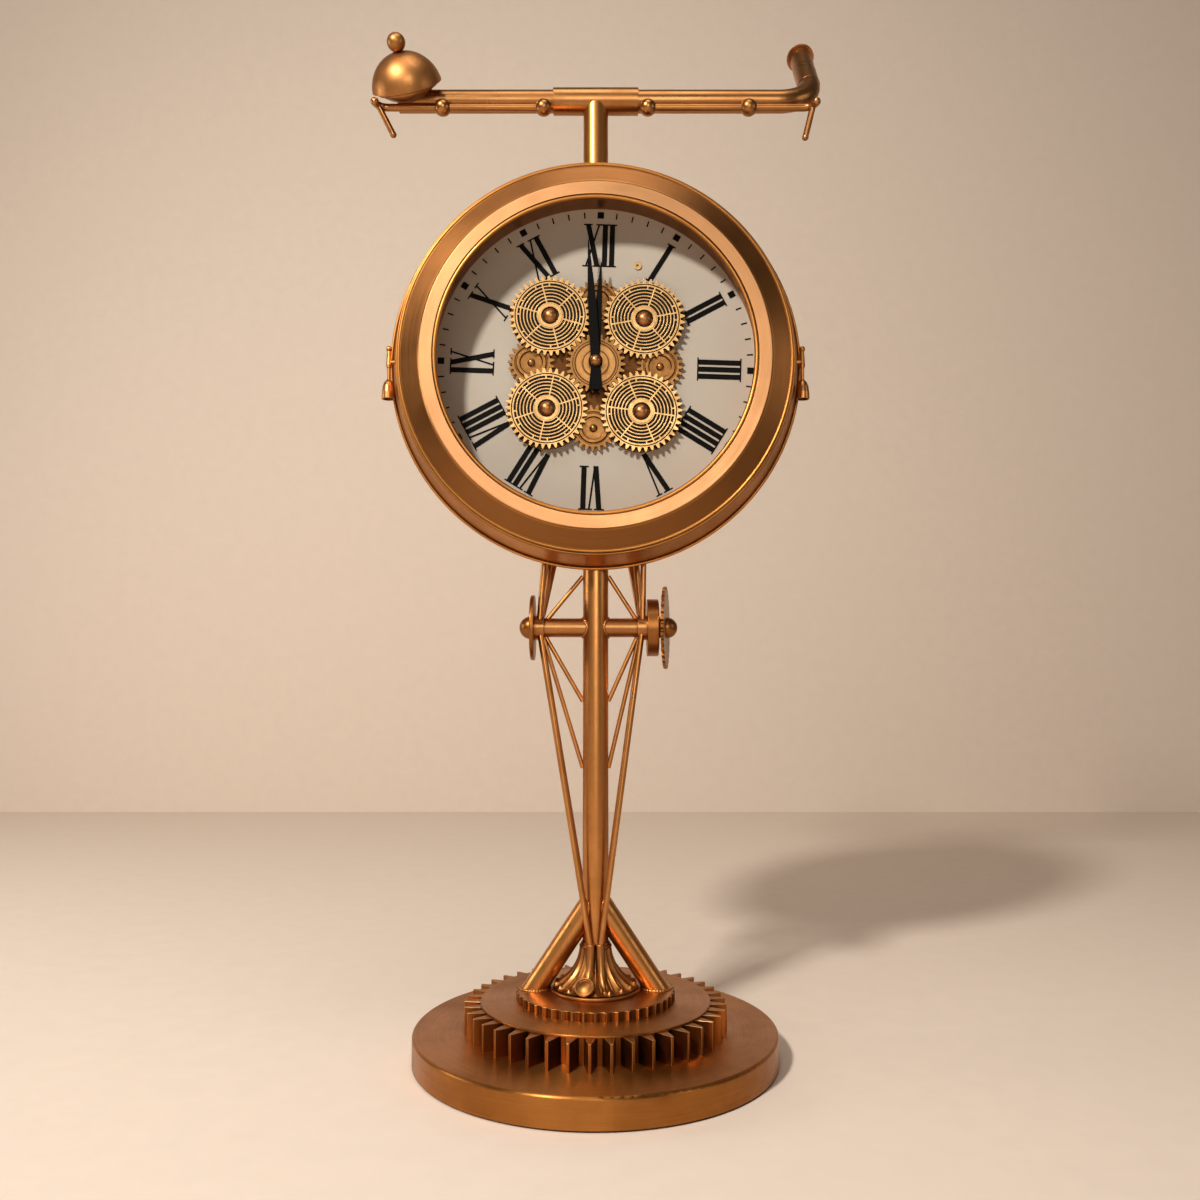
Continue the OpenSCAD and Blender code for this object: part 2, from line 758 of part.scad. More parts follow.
module dial() color([0.78, 0.71, 0.62])
    on_dial() translate([0, 0, dial_back])
        difference() {
            cylinder(r = dial_r, h = dial_h, $fn = 180);
            translate([0, 0, -1]) cylinder(r = bush_r + loose, h = dial_h + 2);
            translate([0, -idler_d, -1]) cylinder(r = idler_post_r + loose, h = dial_h + 2);
        }

module dial_marks() color(black)
    on_dial() translate([0, 0, dial_front])
        for (i = [0 : 59])
            rotate(-6 * i) translate([0, minute_r, mark_h / 2])
                if (i % 5 == 0) cube([minute_l + 0.4, minute_l + 0.4, mark_h], center = true);
                else cube([minute_l * 0.22, minute_l, mark_h], center = true);

// Numeral strokes, drawn upright in a box from y = 0 to the numeral's height
numeral_l = numeral_out - numeral_in;
function letter_w(c) = c == "I" ? stroke_w + 2.2 : c == "V" ? 17 : 18.5;
function start_of(word, i) = i == 0 ? 0 : start_of(word, i - 1) + letter_w(word[i - 1]);

module stroke(x0, x1, w) {
    polygon([[x0 - w / 2, 0], [x0 + w / 2, 0], [x1 + w / 2, numeral_l], [x1 - w / 2, numeral_l]]);
}

module serif(x, y, w) {
    translate([x - w / 2, y]) square([w, hair_w]);
}

module letter(c) {
    w = letter_w(c);
    high = numeral_l - hair_w;
    edge = stroke_w / 2 + 1.2;
    if (c == "I") {
        stroke(w / 2, w / 2, stroke_w);
        serif(w / 2, 0, w + 2);
        serif(w / 2, high, w + 2);
    }
    if (c == "V") {
        stroke(w / 2, edge, stroke_w);
        stroke(w / 2 + 1, w - 2.5, hair_w * 1.3);
        serif(edge, high, stroke_w + 5);
        serif(w - 2.5, high, 7);
    }
    if (c == "X") {
        stroke(w - edge, edge, stroke_w);
        stroke(2.5, w - 2.5, hair_w * 1.3);
        for (y = [0, high]) {
            serif(y > 0 ? edge : w - edge, y, stroke_w + 4);
            serif(y > 0 ? w - 2.5 : 2.5, y, 7);
        }
    }
}

module numerals() color(black) {
    words = ["XII", "I", "II", "III", "IIII", "V", "VI", "VII", "VIII", "IX", "X", "XI"];
    on_dial() difference() {
        for (i = [0 : 11])
            rotate(-30 * i) translate([-start_of(words[i], len(words[i])) / 2, numeral_in, dial_front])
                linear_extrude(mark_h)
                    for (j = [0 : len(words[i]) - 1])
                        translate([start_of(words[i], j), 0]) letter(words[i][j]);
        translate([0, 0, dial_front - 1]) plate_discs(loose, plate_h);
    }
}

module dial_eyelet() color(brass)
    on_dial() translate([eyelet_x, eyelet_y, dial_front])
        difference() {
            cylinder(r = eyelet_r, h = 1.4);
            translate([0, 0, -1]) cylinder(r = eyelet_r * 0.4, h = past);
        }

// Wheels

// Round lobes of the wheel plate, larger by grow
module plate_discs(grow, h) {
    for (k = [0 : 3]) {
        translate(corner_at(k)) cylinder(r = root_r(corner_teeth) + 3.5 + grow, h = h);
        translate(idler_at(k)) cylinder(r = root_r(idler_teeth) - 4 + grow, h = h);
    }
    cylinder(r = corner_d + grow, h = h);
}

module wheel_plate() color(brass)
    on_dial() translate([0, 0, dial_front])
        difference() {
            plate_discs(0, plate_h);
            translate([0, 0, -1]) cylinder(r = bush_r + loose, h = past);
            translate([0, -idler_d, -1]) cylinder(r = idler_post_r + loose, h = past);
        }

head_z = wheel_front - 1.2;
idler_floor = idler_z + idler_h * 0.45;

// The bottom idler turns on the gear drive's shaft, the other three on posts
module wheel_posts() color(copper)
    on_dial() {
        for (k = [0 : 3])
            translate(corner_at(k)) {
                translate([0, 0, plate_front]) cylinder(r = post_r, h = head_z - plate_front + 1);
                translate([0, 0, head_z]) {
                    cylinder(r = head_r, h = 1.2);
                    translate([0, 0, 1.2 - head_r * 0.45]) intersection() {
                        sphere(r = head_r * 1.09);
                        translate([0, 0, head_r * 0.45]) cylinder(r = head_r, h = past);
                    }
                }
            }
        for (k = [0 : 2])
            translate(idler_at(k)) {
                translate([0, 0, plate_front]) cylinder(r = idler_post_r, h = idler_floor - plate_front + 1);
                translate([0, 0, idler_floor + loose]) dome(idler_knob_r);
            }
    }

module wheel(n, h) {
    linear_extrude(h) polygon(wheel_points(n));
}

module slots() {
    first = hub_ring_r + 1.4;
    for (i = [0 : slot_rings - 1]) {
        r = first + i * slot_pitch;
        difference() {
            circle(r = r + slot_w);
            circle(r = r);
            for (k = [0 : spokes - 1])
                rotate(k * 360 / spokes) translate([0, -spoke_w / 2]) square([past, spoke_w]);
            if (i == slot_rings - 1)
                for (k = [0 : spokes - 1], t = [-1, 1])
                    rotate(k * 360 / spokes + t * 13) translate([0, -spoke_w / 2]) square([past, spoke_w]);
        }
    }
}

module corner_wheel(k) color(brass)
    on_dial() translate(corner_at(k)) {
        difference() {
            union() {
                translate([0, 0, wheel_z]) rotate(corner_turn(k)) difference() {
                    wheel(corner_teeth, wheel_h);
                    translate([0, 0, -1]) linear_extrude(past) slots();
                    translate([0, 0, wheel_h - 0.8]) difference() {
                        cylinder(r = root_r(corner_teeth) - 1.2, h = 2);
                        translate([0, 0, -1]) cylinder(r = root_r(corner_teeth) - 2, h = 4);
                    }
                }
                translate([0, 0, idler_z]) rotate(pinion_turn(k)) wheel(pinion_teeth, idler_h);
                translate([0, 0, idler_z]) cylinder(r = head_well_r + 1, h = wheel_front - idler_z);
                translate([0, 0, idler_z]) cylinder(r = hub_ring_r, h = wheel_front - idler_z + 0.5);
            }
            cylinder(r = post_r + run_gap, h = past);
            translate([0, 0, head_z - loose]) cylinder(r = head_well_r, h = past);
        }
    }

module corner_wheel_1() corner_wheel(0);
module corner_wheel_2() corner_wheel(1);
module corner_wheel_3() corner_wheel(2);
module corner_wheel_4() corner_wheel(3);

module idler(k) color(brass)
    on_dial() translate(idler_at(k)) {
        rim = root_r(idler_teeth) - 2.2;
        difference() {
            union() {
                difference() {
                    translate([0, 0, idler_z]) rotate(90 * k) wheel(idler_teeth, idler_h);
                    translate([0, 0, idler_floor]) cylinder(r = rim, h = past);
                }
                translate([0, 0, idler_z]) rotate_extrude()
                    polygon([[rim * 0.62, 0.4], [rim * 0.92, 0.4], [rim * 0.86, idler_h + 0.5],
                        [rim * 0.7, idler_h + 0.5]]);
            }
            if (k < 3) cylinder(r = idler_post_r + run_gap, h = past);
        }
        if (k == 3) {
            translate([0, 0, dial_back - 4]) cylinder(r = idler_post_r, h = idler_floor + 1 - dial_back + 4);
            translate([0, 0, idler_floor - 0.2]) dome(idler_knob_r);
        }
    }

module idler_1() idler(0);
module idler_2() idler(1);
module idler_3() idler(2);
module idler_4() idler(3);

module centre_wheel() color(brass)
    on_dial() {
        rim = root_r(centre_teeth) - 2.5;
        difference() {
            union() {
                translate([0, 0, wheel_z]) wheel(centre_teeth, wheel_h);
                translate([0, 0, idler_z]) cylinder(r = bush_r + 5, h = wheel_front - idler_z);
                translate([0, 0, wheel_z]) cylinder(r = rim * 0.6, h = wheel_h + 0.6);
            }
            translate([0, 0, wheel_front - 0.8]) difference() {
                cylinder(r = rim + 0.4, h = 3);
                translate([0, 0, -1]) cylinder(r = rim - 0.5, h = 5);
            }
            cylinder(r = bush_r + run_gap, h = past);
        }
    }

// Hands

module hand_blade(length, wide) {
    linear_extrude(hand_h) {
        polygon([[-tail_w / 2, -tail_len], [tail_w / 2, -tail_len], [wide / 2 + 0.6, 0],
            [wide / 2, length * 0.48], [wide * 0.39, length * 0.66], [0.4, length], [-0.4, length],
            [-wide * 0.39, length * 0.66], [-wide / 2, length * 0.48], [-wide / 2 - 0.6, 0]]);
        circle(r = cap_r + 1.4);
    }
}

module hour_hand() color(black)
    on_face()
        difference() {
            union() {
                translate([0, 0, hour_z]) rotate(-hour_angle) hand_blade(hour_len, 7.4);
                translate([0, 0, dial_back - 4]) cylinder(r = pipe_r, h = hour_z + hand_h - dial_back + 4);
            }
            cylinder(r = arbor_r + run_gap, h = past);
        }

module minute_hand() color(black)
    on_face() {
        translate([0, 0, minute_z]) rotate(-minute_angle) hand_blade(minute_len, 8.6);
        translate([0, 0, dial_back - 7]) cylinder(r = arbor_r, h = minute_z + hand_h - dial_back + 7);
    }

module hand_cap() color(copper)
    on_face() translate([0, 0, minute_z + hand_h]) {
        cylinder(r = cap_r, h = 1.5);
        translate([0, 0, 1.5 - cap_r * 0.3]) intersection() {
            sphere(r = cap_r * 1.03);
            translate([0, 0, cap_r * 0.3]) cylinder(r = cap_r, h = cap_r);
        }
    }

// Movement and back

cell_y = -movement_w / 2 + cell_r + 3;
bay_z = movement_back + cell_r + 1.2;
drive_y = -idler_d - 4;
drive_cell_y = drive_y - drive_w / 2 + cell_r + 3;
set_y = 14;

// Bay for a cell, open to the back
module cell_bay(y) {
    translate([-cell_l / 2 - 1.5, y, bay_z]) rotate([0, 90, 0])
        cylinder(r = cell_r + cell_gap, h = cell_l + 3);
    translate([-cell_l / 2 - 1.5, y - cell_r - cell_gap, movement_back - 1])
        cube([cell_l + 3, 2 * (cell_r + cell_gap), bay_z - movement_back + 1]);
}

module movement() color(black)
    on_face()
        difference() {
            union() {
                translate([-movement_w / 2, -movement_w / 2, movement_back])
                    cube([movement_w, movement_w, movement_h]);
                translate([0, 0, dial_back - 1]) cylinder(r = bush_r, h = wheel_front - dial_back + 2.5);
            }
            cell_bay(cell_y);
            translate([0, 0, dial_back - 4 - loose]) cylinder(r = pipe_r + run_gap, h = past);
            translate([0, 0, dial_back - 7 - loose]) cylinder(r = arbor_r + run_gap, h = past);
            translate([0, set_y, movement_back - 1]) cylinder(r = idler_post_r + run_gap, h = 5 + loose);
        }

module gear_drive() color(black)
    on_dial()
        difference() {
            translate([-cell_l / 2 - 4, drive_y - drive_w / 2, movement_back])
                cube([cell_l + 8, drive_w, movement_h]);
            cell_bay(drive_cell_y);
            translate([0, -idler_d, dial_back - 4 - loose]) cylinder(r = idler_post_r + run_gap, h = past);
        }

module cell(y) {
    translate([-cell_l / 2, y, bay_z - cell_gap]) rotate([0, 90, 0]) {
        cylinder(r = cell_r, h = cell_l);
        cylinder(r = cell_r * 0.38, h = cell_l + 1.2);
    }
}

module batteries() color("darkgoldenrod") {
    on_face() cell(cell_y);
    on_dial() cell(drive_cell_y);
}

module set_wheel() color(black)
    on_face() translate([0, set_y, movement_back]) {
        translate([0, 0, -5 - loose]) difference() {
            cylinder(r = set_r, h = 5);
            for (i = [0 : 17])
                rotate(i * 20) translate([set_r, 0, -1]) cylinder(r = 0.7, h = 7, $fn = 24);
        }
        translate([0, 0, -1]) cylinder(r = idler_post_r, h = 5);
    }

// Frame of the back cover: z to the back, on the drum's axis
module on_back() {
    translate([0, shell_back - back_h, drum_z]) rotate([-90, 0, 0]) children();
}

module rear_cover() color(dark_copper)
    on_back()
        difference() {
            union() {
                cylinder(r = back_wall_r - loose, h = back_h, $fn = 180);
                translate([0, 0, -10]) difference() {
                    cylinder(r = back_wall_r - loose, h = 11, $fn = 180);
                    translate([0, 0, -1]) cylinder(r = back_wall_r - loose - shell_wall, h = 13, $fn = 180);
                }
            }
            translate([-window_w / 2, idler_d / 2 - 6 - window_h / 2, -past])
                cube([window_w, window_h, 2 * past]);
            for (i = [0 : screws - 1])
                rotate(i * 360 / screws + 30) translate([screw_circle, 0, -past])
                    cylinder(r = screw_r / 2 + loose / 2, h = 2 * past);
        }

module rear_screws() color("silver")
    on_back() for (i = [0 : screws - 1])
        rotate(i * 360 / screws + 30) translate([screw_circle, 0, 0])
            difference() {
                union() {
                    translate([0, 0, -6]) cylinder(r = screw_r / 2, h = 7 + back_h);
                    translate([0, 0, back_h]) cylinder(r = screw_r, h = 2);
                }
                translate([-0.6, -screw_r, back_h + 1]) cube([1.2, 2 * screw_r, 2]);
            }

// Handlebar

module stem() color(dark_copper)
    difference() {
        translate([0, 0, drum_z]) cylinder(r = pole_r, h = bar_z - drum_z);
        translate([0, 0, drum_z]) cylinder(r = pole_r - tube_wall, h = bar_z - drum_z);
        shell_cut();
        bar_cut(tee_r + seat);
    }

module handlebar_tee() color(dark_copper)
    difference() {
        translate([-tee_len / 2, 0, bar_z]) rotate([0, 90, 0]) cylinder(r = tee_r, h = tee_len);
        bar_cut(bar_r + seat);
    }

// Frame at the end of the swept grip: y along the grip
module on_grip_end() {
    translate([bend_x, 0, bar_z]) rotate([grip_rise, 0, 0])
        translate([bend_r, bend_r + grip_len, 0]) children();
}

// Straight tube, a quarter bend and the swept grip; hollow in its straight parts
module handlebar() color(dark_copper) {
    bore_r = bar_r - tube_wall;
    translate([0, 0, bar_z]) rotate([grip_rise, 0, 0]) {
        difference() {
            rod([-bar_left, 0, 0], [bend_x, 0, 0], bar_r);
            rod([-bar_left + tube_wall, 0, 0], [bend_x - bar_r, 0, 0], bore_r);
        }
        translate([bend_x, bend_r, 0]) rotate(-90) rotate_extrude(angle = 90)
            translate([bend_r, 0]) circle(r = bar_r);
        translate([bend_x + bend_r, bend_r, 0]) rotate([-90, 0, 0]) difference() {
            cylinder(r = grip_r, h = grip_len);
            translate([0, 0, bar_r]) cylinder(r = bore_r, h = grip_len);
        }
    }
}

module grip_flange() color(dark_copper)
    on_grip_end() rotate([-90, 0, 0])
        rounded_disc(grip_flange_r, grip_flange_h, grip_flange_h / 3);

module ball_clips() color(copper)
    for (x = [-ball_out_x, -ball_in_x, ball_in_x, ball_out_x])
        difference() {
            union() {
                translate([x, -brake_y, brake_z]) sphere(r = ball_r);
                rod([x, 0, bar_z], [x, -brake_y, brake_z], ball_r * 0.5);
            }
            bar_cut(bar_r + seat);
            translate([-past, -brake_y, brake_z]) rotate([0, 90, 0])
                cylinder(r = brake_r + run_gap, h = 2 * past);
        }

module brake_lever(side, lean) color(copper) {
    from = [side * (hook_x + hook_r * sin(lever_turn)), -hook_r * (1 - cos(lever_turn)), 0];
    lean_v = [-side * tan(lean), tan(lever_back), -1];
    tip = from + lever_len * lean_v / norm(lean_v);
    translate([0, -brake_y, brake_z]) {
        rod([side * (ball_in_x - ball_r * 0.8), 0, 0], [side * hook_x, 0, 0], brake_r);
        translate([side * hook_x, -hook_r, 0]) rotate(side > 0 ? 0 : 90)
            rotate_extrude(angle = 90) translate([hook_r, 0]) circle(r = brake_r);
        translate([side * (hook_x + hook_r), -hook_r, 0]) sphere(r = brake_r + 0.4);
        rod(from, tip, lever_r);
        translate(tip) sphere(r = lever_r + 0.3);
    }
}

module brake_lever_left() brake_lever(-1, lever_lean_left);
module brake_lever_right() brake_lever(1, lever_lean_right);

// Bell

// Bell frame: z along the bell's axis, on the rim plane
module on_bell() {
    translate([-bell_x, 0, bar_z]) rotate([bell_lean, -bell_side, 0])
        translate([0, 0, bell_lift]) children();
}

// Ball of the bell's dome, which is cut off at the rim plane
module dome_ball(r) {
    translate([0, 0, -dome_cut]) sphere(r = r);
}

// Dimple that the pressed knob sinks into
module knob_room() {
    translate([0, 0, knob_z - knob_travel]) sphere(r = knob_r + loose);
}

module bell_base() color(dark_copper)
    difference() {
        on_bell() {
            intersection() {
                translate([0, 0, bowl_sphere - bowl_h]) difference() {
                    sphere(r = bowl_sphere);
                    sphere(r = bowl_sphere - shell_wall);
                }
                translate([0, 0, -past]) cylinder(r = past, h = past);
            }
            translate([0, 0, -bowl_plate]) cylinder(r = bowl_r - 1, h = shell_wall);
            intersection() {
                translate([0, 0, -bowl_plate]) cylinder(r = guide_r, h = past);
                dome_ball(bell_r - bell_wall - seat);
            }
        }
        bar_cut(bar_r + seat);
        on_bell() cylinder(r = plunger_r + run_gap, h = past);
        on_bell() knob_room();
    }

module bell_dome() color(copper)
    on_bell()
        difference() {
            intersection() {
                dome_ball(bell_r);
                cylinder(r = past, h = past);
            }
            dome_ball(bell_r - bell_wall);
            knob_room();
        }

module bell_knob() color(copper)
    on_bell() {
        translate([0, 0, 6]) cylinder(r = plunger_r, h = knob_z - 6);
        translate([0, 0, knob_z]) sphere(r = knob_r);
    }

// Side horns

module side_horn(side) color(copper) {
    rod_z = cup_h + 13;
    tube_z = rod_z + 2;
    difference() {
        union() {
            translate([side * horn_x, -horn_front, drum_z - horn_drop]) {
                rotate_extrude() difference() {
                    polygon([[0, 0], [horn_r, 0], [horn_r * 0.97, cup_h * 0.35], [horn_r * 0.86, cup_h * 0.68],
                        [horn_r * 0.64, cup_h * 0.88], [horn_tube_r * 0.8, cup_h], [0, cup_h]]);
                    polygon([[0, -1], [horn_r - 1.3, -1], [horn_r * 0.97 - 1.5, cup_h * 0.35],
                        [horn_r * 0.86 - 1.7, cup_h * 0.62], [0, cup_h * 0.62]]);
                }
                translate([0, 0, cup_h - 1]) cylinder(r = horn_tube_r * 0.62, h = 15);
                translate([0, 0, rod_z]) cylinder(r = horn_tube_r * 0.85, h = 2);
                translate([0, 0, tube_z]) cylinder(r1 = horn_tube_r, r2 = horn_tube_r * 0.7, h = 16);
                translate([0, 0, tube_z + 18]) sphere(r = horn_tube_r + 0.2);
            }
            rod([0, -horn_front, drum_z], [side * horn_x, -horn_front, drum_z], horn_tube_r * 0.7);
        }
        shell_cut();
    }
}

module side_horn_left() side_horn(-1);
module side_horn_right() side_horn(1);

floor_felt();
base_plate();
base_gear();
cover_disc();
fluted_disc();
base_bolt();
cast_foot();
pole();
strut_left();
strut_right();
cross_tube();
truss_rods_left();
truss_rods_right();
end_disc();
hub_drum();
chainring();
axle_nuts();
case_shell();
bezel();
dial();
dial_marks();
numerals();
dial_eyelet();
wheel_plate();
wheel_posts();
centre_wheel();
corner_wheel_1();
corner_wheel_2();
corner_wheel_3();
corner_wheel_4();
idler_1();
idler_2();
idler_3();
idler_4();
hour_hand();
minute_hand();
hand_cap();
movement();
gear_drive();
batteries();
set_wheel();
rear_cover();
rear_screws();
stem();
handlebar_tee();
handlebar();
grip_flange();
ball_clips();
brake_lever_left();
brake_lever_right();
bell_base();
bell_dome();
bell_knob();
side_horn_left();
side_horn_right();
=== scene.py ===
"""Looks of the gear floor clock: brushed antique copper, brass wheels, a warm grey dial."""
import json
import math

import bmesh
import bpy
import numpy as np
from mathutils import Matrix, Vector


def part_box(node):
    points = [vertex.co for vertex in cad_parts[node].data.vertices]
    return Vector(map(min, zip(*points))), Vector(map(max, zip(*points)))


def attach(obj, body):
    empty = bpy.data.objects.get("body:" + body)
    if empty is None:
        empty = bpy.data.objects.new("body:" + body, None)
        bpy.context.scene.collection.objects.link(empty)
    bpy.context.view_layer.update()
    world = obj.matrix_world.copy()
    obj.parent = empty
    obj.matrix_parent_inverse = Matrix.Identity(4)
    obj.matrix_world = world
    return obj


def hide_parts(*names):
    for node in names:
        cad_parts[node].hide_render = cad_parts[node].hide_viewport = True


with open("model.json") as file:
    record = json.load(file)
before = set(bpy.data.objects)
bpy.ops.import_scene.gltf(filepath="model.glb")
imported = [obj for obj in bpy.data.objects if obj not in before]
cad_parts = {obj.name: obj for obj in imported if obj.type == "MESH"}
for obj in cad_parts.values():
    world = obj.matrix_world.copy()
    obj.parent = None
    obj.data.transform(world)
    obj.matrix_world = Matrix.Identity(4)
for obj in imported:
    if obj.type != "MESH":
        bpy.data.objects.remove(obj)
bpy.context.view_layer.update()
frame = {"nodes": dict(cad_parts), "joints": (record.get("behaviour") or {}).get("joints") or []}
nodes = frame["nodes"]
scene = bpy.context.scene
TAU = 2 * math.pi

# Places that the frame gives, in metres
pivots = {joint["child"]: joint["pos_m"] for joint in frame["joints"] if joint["type"] == "hinge"}
hub_low, hub_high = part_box("hub_drum")
DRUM_Z = pivots["centre_wheel"][2]
CROSS_Z = (hub_low.z + hub_high.z) / 2
FOOT_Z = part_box("cast_foot")[0].z
POLE_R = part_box("pole")[1].x

# Cross tube and struts as in the part's source, in metres
CROSS_R = 0.0100
STRUT_R, STRUT_X, STRUT_RISE = 0.0120, 0.0625, 0.0930


# Meshes

# Points closer than this become one point, in metres
SAME_POINT = 2e-6


def grid_faces(nu, nv, close_u, close_v, start):
    """Quads of a grid of nu by nv points, where point (i, j) has number start + i * nv + j.

    A closed way joins its last row to its first."""
    i = np.arange(nu if close_u else nu - 1)[:, None]
    j = np.arange(nv if close_v else nv - 1)[None, :]
    a = i * nv + j
    b = ((i + 1) % nu) * nv + j
    c = ((i + 1) % nu) * nv + (j + 1) % nv
    d = i * nv + (j + 1) % nv
    return np.stack([a, b, c, d], -1).reshape(-1, 4) + start


def make_piece(name, sheets, material, body, smooth=True):
    """One mesh from several sheets, riding on a body.

    A sheet is (points[nu, nv, 3], closed along u, closed along v)."""
    points, faces, count = [], [], 0
    for grid, close_u, close_v in sheets:
        nu, nv = grid.shape[:2]
        points.append(grid.reshape(-1, 3))
        faces.append(grid_faces(nu, nv, close_u, close_v, count))
        count += nu * nv
    points = np.concatenate(points).astype(np.float32)
    faces = np.concatenate(faces).astype(np.int32)
    mesh = bpy.data.meshes.new(name)
    mesh.vertices.add(len(points))
    mesh.vertices.foreach_set("co", points.ravel())
    mesh.loops.add(faces.size)
    mesh.loops.foreach_set("vertex_index", faces.ravel())
    mesh.polygons.add(len(faces))
    mesh.polygons.foreach_set("loop_start", np.arange(0, faces.size, 4, dtype=np.int32))
    mesh.polygons.foreach_set("loop_total", np.full(len(faces), 4, dtype=np.int32))
    mesh.polygons.foreach_set("use_smooth", np.full(len(faces), smooth))
    mesh.update()
    joined = bmesh.new()
    joined.from_mesh(mesh)
    bmesh.ops.remove_doubles(joined, verts=joined.verts, dist=SAME_POINT)
    bmesh.ops.recalc_face_normals(joined, faces=joined.faces)
    joined.to_mesh(mesh)
    joined.free()
    mesh.validate()
    obj = bpy.data.objects.new(name, mesh)
    scene.collection.objects.link(obj)
    mesh.materials.append(material)
    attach(obj, body)
    return obj


def turned(profile, at, axis, count):
    """A turned sheet: each (radius, height) of the profile goes round the axis line through at."""
    axis = np.asarray(axis, float) / np.linalg.norm(axis)
    upright = abs(axis[2]) >= 0.9
    side = np.cross(axis, (1.0, 0.0, 0.0) if upright else (0.0, 0.0, 1.0))
    side /= np.linalg.norm(side)
    other = np.cross(axis, side)
    turn = np.linspace(0, TAU, count, endpoint=False)
    around = np.cos(turn)[:, None] * side + np.sin(turn)[:, None] * other
    profile = np.asarray(profile, float)[None]
    grid = profile[..., :1] * around[:, None] + profile[..., 1:] * axis + np.asarray(at, float)
    return grid, True, False


def arc(middle, reach, start, stop, count=9):
    """Points of a profile's round stretch: middle plus reach times the turn's cosine and sine."""
    turn = np.linspace(start, stop, count)
    return np.stack([middle[0] + reach[0] * np.cos(turn), middle[1] + reach[1] * np.sin(turn)], 1)


def smooth_line(knots, count):
    """A Catmull-Rom line of count points through the knots, which go straight on at both ends."""
    knots = np.asarray(knots, float)
    before, after = 2 * knots[:1] - knots[1:2], 2 * knots[-1:] - knots[-2:-1]
    all_knots = np.concatenate([before, knots, after])
    along = np.linspace(0, len(knots) - 1, count)
    k = np.minimum(along.astype(int), len(knots) - 2)
    t = (along - k)[:, None]
    a, b, c, d = (all_knots[k + i] for i in range(4))
    return 0.5 * (2 * b + (c - a) * t + (2 * a - 5 * b + 4 * c - d) * t ** 2
                  + (3 * b - a - 3 * c + d) * t ** 3)


def rings_along(path, way, radius, up, sides):
    """Rings round each point of a path, each square to its way and with its own radius."""
    way = way / np.linalg.norm(way, axis=1, keepdims=True)
    side = np.cross(way, up)
    side /= np.linalg.norm(side, axis=1, keepdims=True)
    other = np.cross(side, way)
    turn = np.linspace(0, TAU, sides, endpoint=False)[None, :, None]
    around = np.cos(turn) * side[:, None] + np.sin(turn) * other[:, None]
    return path[:, None] + radius[:, None, None] * around


def swept(path, radius, up, sides=24):
    """A tube along a path, closed to a point at both ends."""
    rings = rings_along(path, np.gradient(path, axis=0), radius, up, sides)
    first = np.repeat(path[:1, None], sides, 1)
    last = np.repeat(path[-1:, None], sides, 1)
    return np.concatenate([first, rings, last]), False, True


# Materials

def scaled(tone, share):
    """A colour with each part multiplied by share."""
    return tuple(share * c for c in tone)


class Finish:
    """A material being wired: add() places a node, sets its values and joins sockets to it."""

    def __init__(self, name):
        self.mat = bpy.data.materials.new(name)
        self.mat.use_nodes = True
        self.tree = self.mat.node_tree
        self.tree.nodes.clear()
        self.out = self.add("ShaderNodeOutputMaterial")

    def add(self, kind, values=None, **props):
        made = self.tree.nodes.new(kind)
        for key, value in props.items():
            setattr(made, key, value)
        for key, value in (values or {}).items():
            if isinstance(value, bpy.types.NodeSocket):
                self.tree.links.new(value, made.inputs[key])
            else:
                made.inputs[key].default_value = value
        return made

    def maths(self, operation, a, b):
        """A number from two numbers."""
        return self.add("ShaderNodeMath", {0: a, 1: b}, operation=operation).outputs[0]

    def vector(self, operation, a, b=(0, 0, 0), out="Vector"):
        """A vector from two vectors, or with Value as out a number."""
        return self.add("ShaderNodeVectorMath", {0: a, 1: b}, operation=operation).outputs[out]

    def parts(self, vector):
        """The x, y and z of a vector."""
        return dict(zip("xyz", self.add("ShaderNodeSeparateXYZ", {0: vector}).outputs))

    def place(self, scale=(1, 1, 1), shift=(0, 0, 0)):
        """Object coordinates, moved by shift and then stretched by scale."""
        coords = self.add("ShaderNodeTexCoord").outputs["Object"]
        return self.vector("MULTIPLY", self.vector("ADD", coords, shift), scale)

    def noise(self, where, scale, detail, rough=0.55, fourth=None):
        """Noise at a place, in four dimensions where a fourth coordinate is given."""
        values = {"Vector": where, "Scale": scale, "Detail": detail, "Roughness": rough}
        if fourth is None:
            return self.add("ShaderNodeTexNoise", values).outputs["Fac"]
        values["W"] = fourth
        return self.add("ShaderNodeTexNoise", values, noise_dimensions="4D").outputs["Fac"]

    def span(self, value, low, high, to_low=0.0, to_high=1.0):
        """Value from low..high carried to to_low..to_high."""
        made = self.add("ShaderNodeMapRange", {"Value": value, "From Min": low, "From Max": high,
                                               "To Min": to_low, "To Max": to_high})
        return made.outputs["Result"]

    def mix(self, factor, a, b):
        """Colour a where the factor is 0 and colour b where it is 1."""
        made = self.add("ShaderNodeMix", {"Factor": factor}, data_type="RGBA")
        colour_in = [s for s in made.inputs if s.type == "RGBA"]
        for socket, value in zip(colour_in, (a, b)):
            if isinstance(value, bpy.types.NodeSocket):
                self.tree.links.new(value, socket)
            else:
                socket.default_value = (*value, 1.0)
        return [s for s in made.outputs if s.type == "RGBA"][0]

    def shade(self, values):
        """The finished material, with these values on its surface."""
        surface = self.add("ShaderNodeBsdfPrincipled", values)
        self.tree.links.new(surface.outputs[0], self.out.inputs["Surface"])
        return self.mat


# Brushing rings: lines in a metre, and how fast a line changes round its axis
RING_LINES, RING_CHANGE = 1400.0, 2.4
# Noise values between which patina and lines grow, and where most of any noise lies
PATINA_SPAN, LINE_SPAN, NOISE_SPAN = (0.36, 0.68), (0.35, 0.75), (0.3, 0.7)
# How far patina and lines take a colour to its dark tone
PATINA_SHARE, LINE_SHARE, BAND_LINE_SHARE = 0.45, 0.40, 0.35
